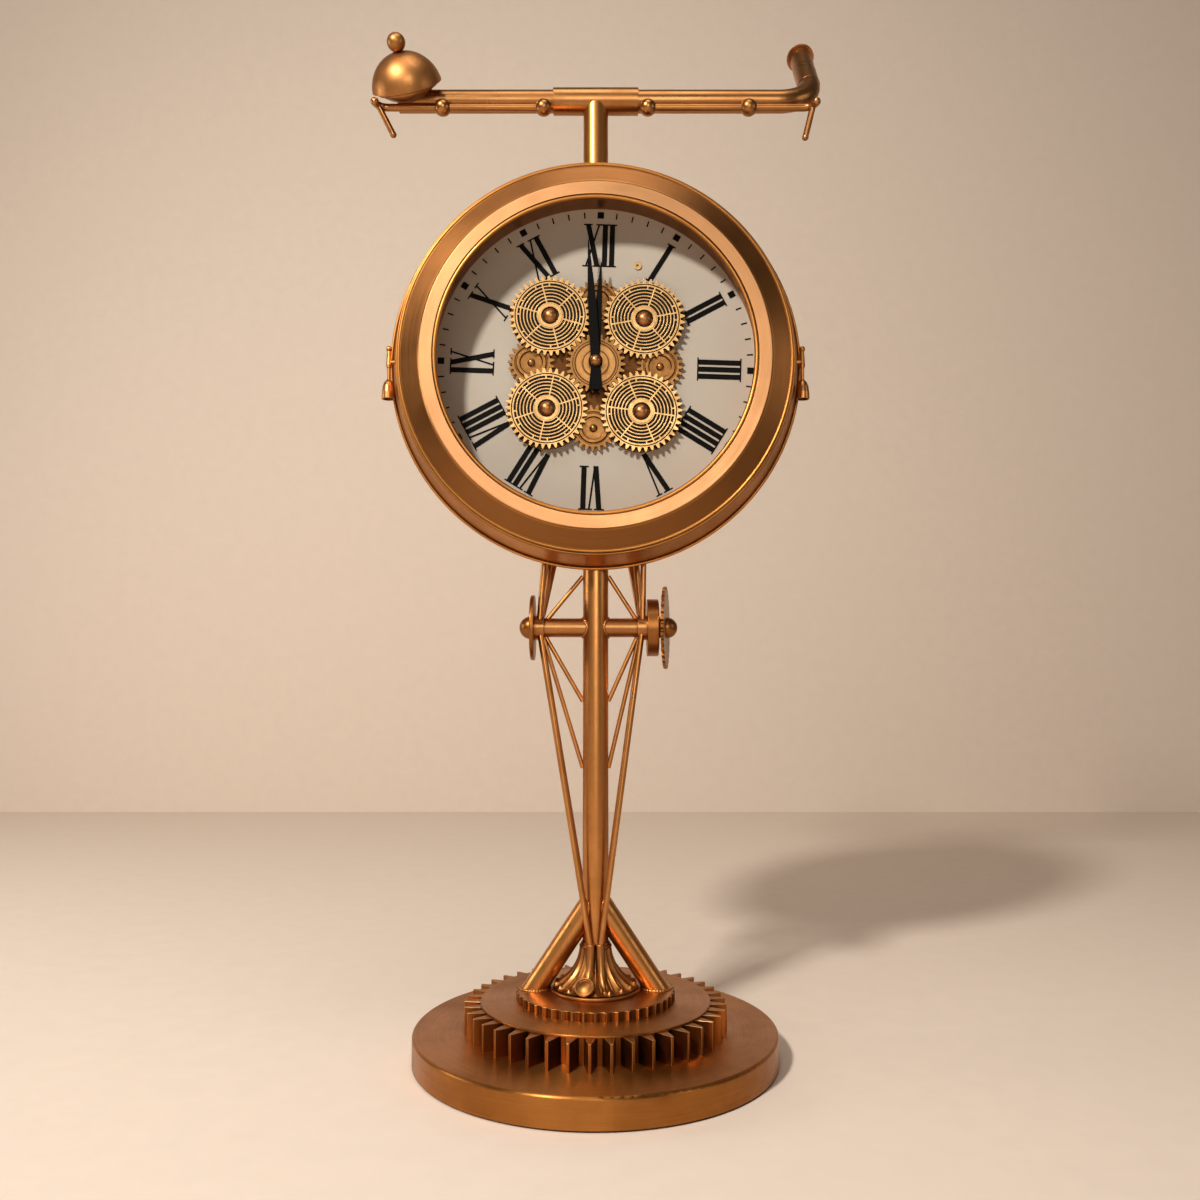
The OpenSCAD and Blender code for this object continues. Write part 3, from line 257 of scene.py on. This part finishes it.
# Roughness that smooth lines take away, and that rough lines and patina add
LINE_GLOSS, LINE_DULL, PATINA_DULL = 0.05, 0.07, 0.08
# Half the width of a band's soft edge, and height of the brushing lines, in metres
BAND_BLUR, LINE_HEIGHT = 0.0003, 0.0004
# Shares of open sky between which a hollow's painted shade and patina clear, and between which
# rubbing begins
HOLLOW_SPAN, CLEAR_SPAN = (0.30, 0.92), (0.75, 0.95)
# Cosine of the bend between which an edge is rubbed, and upward part of a normal over which
# painted shade grows as it looks down
EDGE_SPAN, DOWN_SPAN = (0.985, 0.90), (0.05, -0.55)
# Tones as shares of a colour: lines in a band, painted shade on faces that look down, painted
# shade and patina in hollows
BAND_DARK, UNDER_SHADE_TONE, HOLLOW_SHADE_TONE = 0.6, 0.35, 0.22
# Gain of a rubbed edge over the bright tone, and the most that it may reach
WORN_GAIN, WORN_MOST = 1.35, 0.95
# Rays of the softened normal and of the open sky
RAYS = 6
# Turn of the stretched gloss, as a share of a full turn
ACROSS_RINGS = 0.25


def ring_lines(f, plain, axis, centre):
    """Brushing lines in rings about an axis, with the vector and the distance from that axis.

    The noise reads the distance from the axis, the place along it and the direction round it,
    so it has no seam."""
    first, second = [k for k in "xyz" if k != axis]
    from_axis = f.place(tuple(float(k != axis) for k in "xyz"), scaled(centre, -1))
    radius = f.vector("LENGTH", from_axis, out="Value")
    way = f.parts(f.vector("NORMALIZE", from_axis))
    where = f.add("ShaderNodeCombineXYZ", {
        "X": f.maths("MULTIPLY", radius, RING_LINES),
        "Y": f.maths("MULTIPLY", f.parts(plain)[axis], RING_LINES),
        "Z": f.maths("MULTIPLY", way[first], RING_CHANGE)}).outputs[0]
    fourth = f.maths("MULTIPLY", way[second], RING_CHANGE)
    lines = f.noise(where, scale=1.0, detail=3.0, rough=0.7, fourth=fourth)
    return lines, from_axis, radius


def brushed_metal(name, bright, dark, rough, streak=None, rings=None, edge=0.0006, depth=0.05,
                  spots=20.0, hollow=0.006, hollow_shade_and_patina=0.75, rubbed=0.5, bands=(), painted_under_shade=0.0, grain=0.0,
                  worn_tone=None):
    """Satin metal with brushing lines, slow patina, rubbed edges, and painted shade in hollows
    (with dark patina) and on faces that look down.

    The lines follow the streak scale, or rings about an axis, and depth is the strength of their
    bump. Hollows are where faces of the same piece close in within the hollow distance, and the
    argument after hollow is how far they darken, with painted shade and dark patina. Edges are
    where the normal, softened over the edge radius, leaves the flat one, and rubbed is how far
    they take worn_tone, or else a lighter bright tone. Bands are (inner, outer, colour) between
    two distances from the axis. The argument after bands is how far faces that look down darken, a
    painted shade. Grain stretches the gloss across the rings."""
    f = Finish(name)
    plain = f.place()
    if rings:
        axis, centre = rings
        lines, from_axis, radius = ring_lines(f, plain, axis, centre)
    else:
        lines = f.noise(f.place(streak), scale=1.0, detail=4.0, rough=0.65)
    patina = f.span(f.noise(plain, spots, detail=6.0, rough=0.6), *PATINA_SPAN)
    colour = f.mix(f.maths("MULTIPLY", patina, PATINA_SHARE), bright, dark)
    colour = f.mix(f.span(lines, *LINE_SPAN, to_high=LINE_SHARE), colour, dark)
    for inner, outer, tone in bands:
        inside = f.maths("MULTIPLY", f.span(radius, inner - BAND_BLUR, inner + BAND_BLUR),
                         f.span(radius, outer - BAND_BLUR, outer + BAND_BLUR, 1.0, 0.0))
        lined = f.mix(f.span(lines, *LINE_SPAN, to_high=BAND_LINE_SHARE),
                      tone, scaled(tone, BAND_DARK))
        colour = f.mix(inside, colour, lined)
    roughness = f.maths("ADD", f.span(lines, *NOISE_SPAN, rough - LINE_GLOSS, rough + LINE_DULL),
                        f.maths("MULTIPLY", patina, PATINA_DULL))
    soft = f.add("ShaderNodeBevel", {"Radius": edge}, samples=RAYS).outputs[0]
    flat = f.add("ShaderNodeNewGeometry").outputs["True Normal"]
    bend = f.vector("DOT_PRODUCT", soft, flat, out="Value")
    open_sky = f.add("ShaderNodeAmbientOcclusion", {"Distance": hollow},
                     samples=RAYS, only_local=True).outputs["AO"]
    # Painted shade: faces that look down darken towards the dark tone
    if painted_under_shade:
        facing = f.parts(f.add("ShaderNodeNewGeometry").outputs["Normal"])["z"]
        colour = f.mix(f.span(facing, *DOWN_SPAN, to_high=painted_under_shade), colour, scaled(dark, UNDER_SHADE_TONE))
    # Painted shade, with dark patina, in hollows: the less open sky, the darker
    closed = f.span(open_sky, *HOLLOW_SPAN, hollow_shade_and_patina, 0.0)
    colour = f.mix(closed, colour, scaled(dark, HOLLOW_SHADE_TONE))
    worn = f.maths("MULTIPLY", f.span(bend, *EDGE_SPAN, to_high=rubbed),
                   f.span(open_sky, *CLEAR_SPAN))
    lighter = tuple(min(WORN_MOST, WORN_GAIN * c) for c in bright)
    colour = f.mix(worn, colour, worn_tone or lighter)
    bump = f.add("ShaderNodeBump", {"Strength": depth, "Distance": LINE_HEIGHT, "Height": lines,
                                    "Normal": soft}).outputs[0]
    values = {"Base Color": colour, "Metallic": 1.0, "Roughness": roughness, "Normal": bump}
    if grain:
        along_axis = tuple(float(k == axis) for k in "xyz")
        round_axis = f.vector("CROSS_PRODUCT", along_axis, from_axis)
        values["Tangent"] = f.vector("NORMALIZE", round_axis)
        values["Anisotropic"] = grain
        values["Anisotropic Rotation"] = ACROSS_RINGS
    return f.shade(values)


# Paint: height of its bump in metres, change of its roughness, scale of its slow mottling
PEEL_HEIGHT, PEEL_DULL, SLOW_SCALE = 0.0003, 0.06, 12.0


def painted(name, colour, second, rough, scale, depth=0.05, metal=0.0, shine=0.5):
    """Paint or plastic: slow mottling between two near colours and a fine orange-peel bump."""
    f = Finish(name)
    here = f.place()
    fine = f.noise(here, scale, detail=5.0, rough=0.6)
    slow = f.noise(here, SLOW_SCALE, detail=3.0)
    mixed = f.mix(f.span(slow, *NOISE_SPAN), colour, second)
    bump = f.add("ShaderNodeBump", {"Strength": depth, "Distance": PEEL_HEIGHT,
                                    "Height": fine}).outputs[0]
    return f.shade({"Base Color": mixed, "Metallic": metal, "Normal": bump,
                    "Specular IOR Level": shine,
                    "Roughness": f.span(fine, *NOISE_SPAN, rough - PEEL_DULL, rough + PEEL_DULL)})


# Tones of the copper finishes: bright ones, dark ones and that of rubbed edges
COPPER, SHADE = (0.53, 0.222, 0.056), (0.26, 0.090, 0.0155)
BASE, BASE_SHADE = (0.43, 0.172, 0.041), (0.21, 0.070, 0.011)
TUBE, TUBE_SHADE = (0.49, 0.226, 0.080), (0.22, 0.077, 0.015)
POLE = (0.68, 0.296, 0.090)
DRUM = (0.62, 0.262, 0.068)
RUBBED = (0.80, 0.40, 0.13)
# Axes of the turned pieces: direction and a point on it
BASE_AXIS, CROSS_AXIS, DRUM_AXIS = ("z", (0, 0, 0)), ("x", (0, 0, CROSS_Z)), ("y", (0, 0, DRUM_Z))
# Streak scales: lines along an upright tube, along a level one, and even specks
UPRIGHT, LEVEL, SPECKS = (260, 260, 9), (9, 260, 260), (160, 160, 160)

# In the finishes below, hollows darken with painted shade and dark patina, and faces that look
# down with painted shade
base_metal = brushed_metal(
    "base_copper_brushed", BASE, BASE_SHADE, rough=0.34, rings=BASE_AXIS, edge=0.0009, depth=0.10,
    grain=0.75)
gear_metal = brushed_metal(
    "base_gear_copper", (0.36, 0.140, 0.034), (0.18, 0.060, 0.010), rough=0.30,
    streak=(200, 200, 30), edge=0.0007, hollow=0.010, hollow_shade_and_patina=0.95, rubbed=0.95, worn_tone=RUBBED)
flute_metal = brushed_metal(
    "fluted_disc_copper", COPPER, SHADE, rough=0.30, rings=BASE_AXIS, edge=0.0007, hollow=0.005,
    hollow_shade_and_patina=0.95, rubbed=0.95, worn_tone=RUBBED,
    bands=((0.0780, 0.0796, (0.19, 0.064, 0.012)), (0.0796, 0.0802, (0.30, 0.110, 0.025))))
cast_metal = brushed_metal(
    "cast_copper", (0.43, 0.184, 0.060), SHADE, rough=0.34, streak=(60, 60, 60), spots=60.0,
    hollow=0.005, hollow_shade_and_patina=0.9, rubbed=0.8)
upright_metal = brushed_metal(
    "tube_copper_upright", POLE, TUBE_SHADE, rough=0.29, streak=UPRIGHT, hollow=0.003, painted_under_shade=0.45)
level_metal = brushed_metal(
    "tube_copper_level", TUBE, TUBE_SHADE, rough=0.26, streak=LEVEL, depth=0.012, hollow=0.003,
    painted_under_shade=0.12)
disc_metal = brushed_metal(
    "disc_copper_turned", (0.31, 0.120, 0.031), (0.16, 0.052, 0.009), rough=0.32, rings=CROSS_AXIS)
drum_metal = brushed_metal(
    "drum_copper_spun", DRUM, SHADE, rough=0.33, rings=DRUM_AXIS, edge=0.0008, depth=0.12,
    painted_under_shade=0.1)
# Bezel: the lighter band on its ring face is a painted highlight, the darker band on its cone
# painted shade
bezel_metal = brushed_metal(
    "bezel_copper_spun", COPPER, SHADE, rough=0.33, rings=DRUM_AXIS, edge=0.0008, depth=0.10,
    bands=((0.1650, 0.1797, (0.57, 0.280, 0.120)), (0.1812, 0.1992, (0.28, 0.112, 0.034))),
    painted_under_shade=0.4)
bell_metal = brushed_metal(
    "bell_copper", (0.58, 0.265, 0.090), SHADE, rough=0.38, streak=(90, 90, 90), spots=40.0,
    hollow=0.003, painted_under_shade=0.35)
wheel_metal = brushed_metal(
    "wheel_brass", (0.60, 0.375, 0.155), (0.27, 0.125, 0.038), rough=0.31, streak=SPECKS,
    edge=0.0003, spots=70.0, hollow=0.003, hollow_shade_and_patina=0.92, rubbed=0.8)
# Idlers: a darker brass, darkened further with painted shade from the corner wheels over them
idler_metal = brushed_metal(
    "idler_brass", (0.28, 0.134, 0.043), (0.12, 0.047, 0.012), rough=0.32, streak=SPECKS,
    edge=0.0003, spots=70.0, hollow=0.003, hollow_shade_and_patina=0.95, rubbed=0.8)
# Centre wheel: its two narrow near-black bands are painted shade of grooves that are not built;
# the wide band outside is a darker tone
centre_metal = brushed_metal(
    "centre_wheel_brass", (0.39, 0.200, 0.069), (0.18, 0.074, 0.021), rough=0.31, rings=DRUM_AXIS,
    edge=0.0003, hollow=0.003, hollow_shade_and_patina=0.92, rubbed=0.8,
    bands=((0.0128, 0.0142, (0.10, 0.040, 0.012)), (0.0206, 0.0222, (0.07, 0.027, 0.008)),
           (0.0222, 0.0300, (0.24, 0.115, 0.038))))
# Wheel plate: dark bronze, darkened further with painted shade between the wheels
plate_shaded_metal = brushed_metal(
    "plate_bronze_painted_shade", (0.105, 0.042, 0.013), (0.050, 0.019, 0.006), rough=0.40, streak=SPECKS,
    spots=70.0, hollow=0.004)
post_metal = brushed_metal(
    "post_bronze", (0.46, 0.21, 0.078), (0.23, 0.092, 0.032), rough=0.34, streak=SPECKS,
    spots=90.0, hollow=0.002)
dial_coat = painted(
    "dial_grey", (0.50, 0.445, 0.375), (0.47, 0.415, 0.345), rough=0.62, scale=900.0, shine=0.10)
black_coat = painted(
    "black_enamel", (0.0045, 0.0040, 0.0036), (0.0070, 0.0063, 0.0056), rough=0.60, scale=700.0,
    shine=0.04)
case_plastic = painted(
    "case_plastic", (0.020, 0.020, 0.022), (0.028, 0.028, 0.030), rough=0.50, scale=1500.0,
    depth=0.12)
zinc = brushed_metal(
    "screw_zinc", (0.62, 0.62, 0.60), (0.42, 0.42, 0.41), rough=0.30, streak=(400, 400, 400))
cell_wrap = painted(
    "cell_wrap", (0.42, 0.27, 0.08), (0.38, 0.24, 0.07), rough=0.30, scale=400.0, depth=0.02,
    metal=0.6)
felt = painted(
    "floor_felt", (0.030, 0.027, 0.024), (0.045, 0.040, 0.036), rough=0.95, scale=2600.0,
    depth=0.5)


# The finish of each CAD piece

for coat, names in (
        (felt, ("floor_felt",)),
        (base_metal, ("base_plate", "cover_disc")),
        (gear_metal, ("base_gear",)),
        (flute_metal, ("fluted_disc",)),
        (cast_metal, ("cast_foot",)),
        (upright_metal, ("pole", "strut_left", "strut_right", "truss_rods_left",
                         "truss_rods_right", "stem", "side_horn_left", "side_horn_right")),
        (level_metal, ("cross_tube", "handlebar_tee", "handlebar", "grip_flange", "ball_clips",
                       "brake_lever_left", "brake_lever_right")),
        (disc_metal, ("end_disc", "hub_drum", "chainring", "axle_nuts")),
        (drum_metal, ("case_shell", "rear_cover")),
        (bezel_metal, ("bezel",)),
        (dial_coat, ("dial",)),
        (black_coat, ("dial_marks", "numerals", "hour_hand", "minute_hand")),
        (plate_shaded_metal, ("wheel_plate",)),
        (post_metal, ("wheel_posts", "hand_cap")),
        (centre_metal, ("centre_wheel",)),
        (wheel_metal, ("dial_eyelet", *(f"corner_wheel_{k}" for k in range(1, 5)))),
        (idler_metal, tuple(f"idler_{k}" for k in range(1, 5))),
        (bell_metal, ("bell_base", "bell_dome", "bell_knob")),
        (case_plastic, ("movement", "gear_drive", "set_wheel")),
        (cell_wrap, ("batteries",)),
        (zinc, ("base_bolt", "rear_screws"))):
    for name in names:
        slots = nodes[name].data.materials
        if len(slots) == 0:
            slots.append(coat)
        for k in range(len(slots)):
            slots[k] = coat


# Cast foot: leaf ridges on a concave flare, rod sockets and a round boss

# Flare: radius of its arc, middle of that arc as (radius, height), and how high it rises
FLARE_R, FLARE_C, FLARE_RISE = 0.04232, (0.05782, 0.044), 0.0400

# Leaves: their number, how far ridges, curled ends and veins stand out, a ridge's sharpness,
# and the share of a ridge that lies under the plain flare
LEAVES = 18
RIDGE_OUT, CURL_OUT, VEIN_OUT = 0.0031, 0.0016, 0.0008
RIDGE_POWER, RIDGE_SUNK = 1.7, 0.42
# Shares of the flare, from its foot up, where ridges begin, and how much of them the top loses
RIDGE_BEGINS, RIDGE_LOSS = (0.0, 0.10), 0.45
# Curled end: its share of the way up, its height in the same shares, and its width in leaves
CURL_AT, CURL_TALL, CURL_WIDE = 0.075, 0.05, 0.16
# Vein: its width in leaves, and the shares of the way up where it begins and ends
VEIN_WIDE, VEIN_BEGINS, VEIN_ENDS = 0.07, (0.12, 0.22), (0.55, 0.35)

# Boss: turn to the left of the front, upward lean, distance from the foot's axis and height,
# and how far from it, and by what share, it calms the leaves
BOSS_TURN, BOSS_LEAN = math.radians(15.5), math.radians(42)
BOSS_OUT, BOSS_Z = 0.0390, 0.0105
BOSS_CALM_R, BOSS_CALM = 0.0135, 0.85

# Outlines of the turned parts, as (radius, height): the foot's rim, its collar and the boss
FOOT_BORE = 0.0134
RIM = np.concatenate([
    [(FOOT_BORE, 0.0), (0.0462, 0.0), (0.0468, 0.0006)],
    arc((0.0452, 0.0017), (0.0017, 0.0016), 0, TAU / 4),
    [(0.0440, 0.0029), (0.0426, 0.0036), (0.0400, 0.0040), (FOOT_BORE, 0.0040)]])
COLLAR = np.concatenate([
    [(FOOT_BORE, 0.0415)],
    arc((0.0150, 0.0438), (0.0017, 0.0017), -TAU / 4, TAU / 4),
    [(0.0149, 0.0462), (0.0147, 0.0476), (0.0143, 0.0480), (FOOT_BORE, 0.0480)]])
CAP_R, CAP_RISE, CAP_Z = 0.0075, 0.0017, 0.0014
inward = np.linspace(0, 1, 10)
BOSS = np.concatenate([
    [(0.0098, -0.011), (0.0098, 0.0010)],
    arc((0.0090, 0.0020), (0.0008, 0.0012), 0, TAU / 2),
    [(0.0078, CAP_Z)],
    np.stack([CAP_R * (1 - inward), CAP_Z + CAP_RISE * (1 - (1 - inward) ** 2)], 1)])

# Rod socket at the back right: points of its line from the top down, and its radius at each
SOCKET_KNOTS = np.array([(0.0048, 0.0165, 0.0479), (0.0048, 0.0166, 0.0420),
                         (0.0052, 0.0180, 0.0320), (0.0062, 0.0220, 0.0200),
                         (0.0082, 0.0295, 0.0095), (0.0096, 0.0380, 0.0046)])
SOCKET_RADII = (0.0046, 0.0046, 0.0044, 0.0040, 0.0034, 0.0022)
SOCKET_STEPS = 40


def ramp(value, start, stop):
    """0 at start, 1 at stop, even between them and level beyond."""
    return np.clip((value - start) / (stop - start), 0, 1)


def hump(value, middle, width):
    """A bell curve, 1 at the middle: e to the minus square of the distance over the width."""
    return np.exp(-((value - middle) / width) ** 2)


def round_axis_points(radius, theta, height):
    """Points at a radius, a turn and a height."""
    return np.stack([radius * np.cos(theta), radius * np.sin(theta), height + 0 * theta], -1)


def flare_point(phi):
    """Radius and height of a point of the flare, and its outward normal.

    Phi is the point's angle below level, seen from the middle of the flare's arc."""
    radius = FLARE_C[0] - FLARE_R * np.cos(phi)
    height = FLARE_C[1] - FLARE_R * np.sin(phi)
    return radius, height, np.cos(phi), np.sin(phi)


def boss_place():
    """Middle of the boss, from the middle of the foot's underside, and the way that it faces."""
    out = np.array((-math.sin(BOSS_TURN), -math.cos(BOSS_TURN), 0.0))
    up = np.array((0.0, 0.0, 1.0))
    return out * BOSS_OUT + up * BOSS_Z, out * math.cos(BOSS_LEAN) + up * math.sin(BOSS_LEAN)


def leaf_flare(around=720, rows=90):
    """The flare pushed along its normal.

    A ridge is a power of the distance from the middle of the hollow beside it, so ridges are
    sharp and hollows round. It begins at the foot of the flare and gets lower towards the top.
    Each ridge ends below in a curled bead, each hollow has a fine vein, and the push is calmed
    round the boss."""
    theta = np.linspace(0, TAU, around, endpoint=False)[:, None]
    t = np.linspace(0, 1, rows)[None, :]
    radius, height, out, rise = flare_point(math.asin(FLARE_RISE / FLARE_R) * (1 - t))
    aside = np.abs((theta * LEAVES / TAU + 0.5) % 1.0 - 0.5)
    ridge = (2 * aside) ** RIDGE_POWER - RIDGE_SUNK
    swell = ramp(t, *RIDGE_BEGINS) * (1 - RIDGE_LOSS * t)
    curl = hump(t, CURL_AT, CURL_TALL) * hump(aside, 0.5, CURL_WIDE)
    vein = hump(aside, 0, VEIN_WIDE) * ramp(t, *VEIN_BEGINS) * ramp(t, *VEIN_ENDS)
    push = RIDGE_OUT * swell * ridge + CURL_OUT * curl + VEIN_OUT * vein
    from_boss = round_axis_points(radius, theta, height) - boss_place()[0]
    away = np.linalg.norm(from_boss, axis=-1)
    push = push * (1 - BOSS_CALM * np.exp(-(away / BOSS_CALM_R) ** 4))
    points = round_axis_points(radius + push * out, theta, FOOT_Z + height + push * rise)
    return points, True, False


def foot_sheets():
    """All the sheets of the cast foot: rim, collar, leaves, four rod sockets and the boss."""
    base, up = (0, 0, FOOT_Z), (0, 0, 1)
    sheets = [turned(RIM, base, up, count=144), turned(COLLAR, base, up, count=96), leaf_flare()]
    last = len(SOCKET_RADII) - 1
    radii = np.interp(np.linspace(0, last, SOCKET_STEPS), range(last + 1), SOCKET_RADII)
    for front in (-1, 1):
        for side in (-1, 1):
            line = smooth_line(SOCKET_KNOTS * (side, front, 1) + base, SOCKET_STEPS)
            sheets.append(swept(line, radii, up=(0, 1, 0)))
    boss_at, boss_axis = boss_place()
    sheets.append(turned(BOSS, boss_at + base, boss_axis, count=64))
    return sheets


foot = make_piece("cast_foot_leaves", foot_sheets(), cast_metal, "clock")
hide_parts("cast_foot")


# Weld beads where tubes meet

# Radii of the beads at the struts and at the cross tube, and lift of the strut's bead, in metres
STRUT_BEAD_R, CROSS_BEAD_R, STRUT_BEAD_LIFT = 0.0015, 0.0014, 0.0003
# Drops along a bead: their number, and how far they swell it
DROPS, DROP_SWELL = 32, 0.09


def weld(path, radius, up, sides=12):
    """A closed bead on a closed path: a sine ripples its radius like a run of weld drops."""
    along = np.linspace(0, TAU, len(path), endpoint=False)
    ripple = radius * (1 + DROP_SWELL * np.sin(along * DROPS))
    way = np.roll(path, -1, 0) - np.roll(path, 1, 0)
    return rings_along(path, way, ripple, up, sides), True, True


def strut_weld(side, steps=256):
    """Weld round a strut's foot: the ellipse in which the leaning tube meets the disc."""
    theta = np.linspace(0, TAU, steps, endpoint=False)
    long_r = STRUT_R * math.hypot(STRUT_X, STRUT_RISE) / STRUT_RISE
    path = np.stack([side * STRUT_X + long_r * np.cos(theta), STRUT_R * np.sin(theta),
                     np.full(steps, FOOT_Z + STRUT_BEAD_LIFT)], -1)
    return weld(path, STRUT_BEAD_R, up=(0, 0, 1))


def cross_weld(side, steps=192):
    """Weld round the cross tube: the curve where it meets the pole.

    x and y lie on the pole's circle, y and z on the cross tube's."""
    theta = np.linspace(0, TAU, steps, endpoint=False)
    y, rise = CROSS_R * np.cos(theta), CROSS_R * np.sin(theta)
    path = np.stack([side * np.sqrt(POLE_R ** 2 - y ** 2), y, CROSS_Z + rise], -1)
    return weld(path, CROSS_BEAD_R, up=(1, 0, 0))


for side, word in ((-1, "left"), (1, "right")):
    welds = [strut_weld(side), cross_weld(side)]
    beads = make_piece(f"weld_beads_{word}", welds, upright_metal, "clock")


# Painted shade of the pierced wheels: dark rings in the slots, the outer groove and the head wells

slot_shade_paint = painted("slot_shadow", (0.008, 0.0055, 0.0035), (0.012, 0.008, 0.005), rough=0.60,
                    scale=900.0, shine=0.1)
# Inner and outer radius of the rings of painted shade
SLOT_RING, GROOVE_RING, WELL_RING = (0.0129, 0.0350), (0.0361, 0.0373), (0.0082, 0.0093)
# How far in front of the pole's axis the slot ring and the well ring begin
SLOT_BACK, WELL_BACK = 0.0224, 0.0240
# From the hub's front back to the wheel's face, from there to the floors, and how far the
# groove's ring of painted shade stands in front of the face
HUB_STEP, FLOOR_DEPTH, GROOVE_PROUD = 0.0005, 0.0008, 0.00003


def ring_block(radii, back, front, at):
    """A closed ring of rectangular section, from back to front before a point on its axis."""
    inner, outer = radii
    section = [(inner, back), (outer, back), (outer, front), (inner, front), (inner, back)]
    return turned(section, at, (0, -1, 0), count=96)


for k in range(1, 5):
    wheel = f"corner_wheel_{k}"
    at = (pivots[wheel][0], 0, pivots[wheel][2])
    face = -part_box(wheel)[0].y - HUB_STEP
    floor = face - FLOOR_DEPTH
    floors = [ring_block(SLOT_RING, SLOT_BACK, floor, at),
              ring_block(GROOVE_RING, floor, face + GROOVE_PROUD, at),
              ring_block(WELL_RING, WELL_BACK, floor, at)]
    shade_rings = make_piece(f"wheel_shade_rings_{k}", floors, slot_shade_paint, wheel, smooth=False)


# Stage: pale floor, far wall, soft lamps, camera

# Half the floor's width, the wall's distance and its height, in metres
FLOOR_HALF, WALL_Y, WALL_TOP = 6, 1.935, 5
LAMP_COLOUR = (1, 0.95, 0.88)
ROOM_COLOUR, ROOM_STRENGTH = (0.92, 0.80, 0.68, 1), 0.085
# Camera: place in metres, upward tilt in degrees, lens and sensor in millimetres
CAMERA_AT, CAMERA_TILT = (0.0046, -1.10633, 0.38595), 4.141
LENS, SENSOR = 31.616, 36.0


def pale_surface(name, colour):
    """Flat pale paint for the floor and the wall."""
    f = Finish(name)
    grain = f.noise(f.place(), scale=30.0, detail=4.0)
    tint = f.mix(f.span(grain, *NOISE_SPAN), colour, scaled(colour, share=0.97))
    return f.shade({"Base Color": tint, "Roughness": 0.75})


def stage_sheet(name, corners, material):
    """A flat sheet from four corners."""
    mesh = bpy.data.meshes.new(name)
    mesh.from_pydata(corners, [], [(0, 1, 2, 3)])
    mesh.materials.append(material)
    obj = bpy.data.objects.new(name, mesh)
    scene.collection.objects.link(obj)


def soft_lamp(name, at, towards, size, power, gloss_only=False):
    """A round lamp turned to a point.

    A gloss-only lamp shows in the metal and leaves the paint's shadows deep."""
    lamp = bpy.data.lights.new(name, "AREA")
    lamp.shape = "DISK"
    lamp.size = size
    lamp.energy = power
    lamp.color = LAMP_COLOUR
    obj = bpy.data.objects.new(name, lamp)
    obj.location = at
    way = np.array(towards) - np.array(at)
    tilt = math.acos(-way[2] / np.linalg.norm(way))
    obj.rotation_euler = (tilt, 0, math.atan2(way[1], way[0]) - TAU / 4)
    obj.visible_diffuse = not gloss_only
    scene.collection.objects.link(obj)


stage_sheet("floor", [(-FLOOR_HALF, -FLOOR_HALF, 0), (FLOOR_HALF, -FLOOR_HALF, 0),
                      (FLOOR_HALF, WALL_Y, 0), (-FLOOR_HALF, WALL_Y, 0)],
            pale_surface("floor_paint", (0.89, 0.76, 0.645)))
stage_sheet("wall", [(-FLOOR_HALF, WALL_Y, 0), (FLOOR_HALF, WALL_Y, 0),
                     (FLOOR_HALF, WALL_Y, WALL_TOP), (-FLOOR_HALF, WALL_Y, WALL_TOP)],
            pale_surface("wall_paint", (0.87, 0.735, 0.615)))

soft_lamp("key", at=(-1.30, -2.05, 2.27), towards=(0, 0, 0.65), size=0.34, power=90)
soft_lamp("front", at=(0.2, -3.0, 1.10), towards=(0, 0, 0.6), size=1.5, power=23, gloss_only=True)
soft_lamp("top", at=(0.1, -0.75, 2.7), towards=(0, 0, 0.6), size=1.2, power=11)
soft_lamp("left", at=(-2.4, 0.0, 0.9), towards=(0, 0, 0.4), size=1.0, power=12)
soft_lamp("right", at=(2.4, -1.2, 1.2), towards=(0, 0, 0.6), size=1.2, power=6, gloss_only=True)
world = bpy.data.worlds.new("room")
world.use_nodes = True
world.node_tree.nodes["Background"].inputs["Color"].default_value = ROOM_COLOUR
world.node_tree.nodes["Background"].inputs["Strength"].default_value = ROOM_STRENGTH
scene.world = world
scene.view_settings.view_transform = "Standard"

camera = bpy.data.cameras.new("view")
camera.sensor_width = SENSOR
camera.lens = LENS
camera_obj = bpy.data.objects.new("view", camera)
camera_obj.location = CAMERA_AT
camera_obj.rotation_euler = (math.radians(90 + CAMERA_TILT), 0, 0)
scene.collection.objects.link(camera_obj)
scene.camera = camera_obj
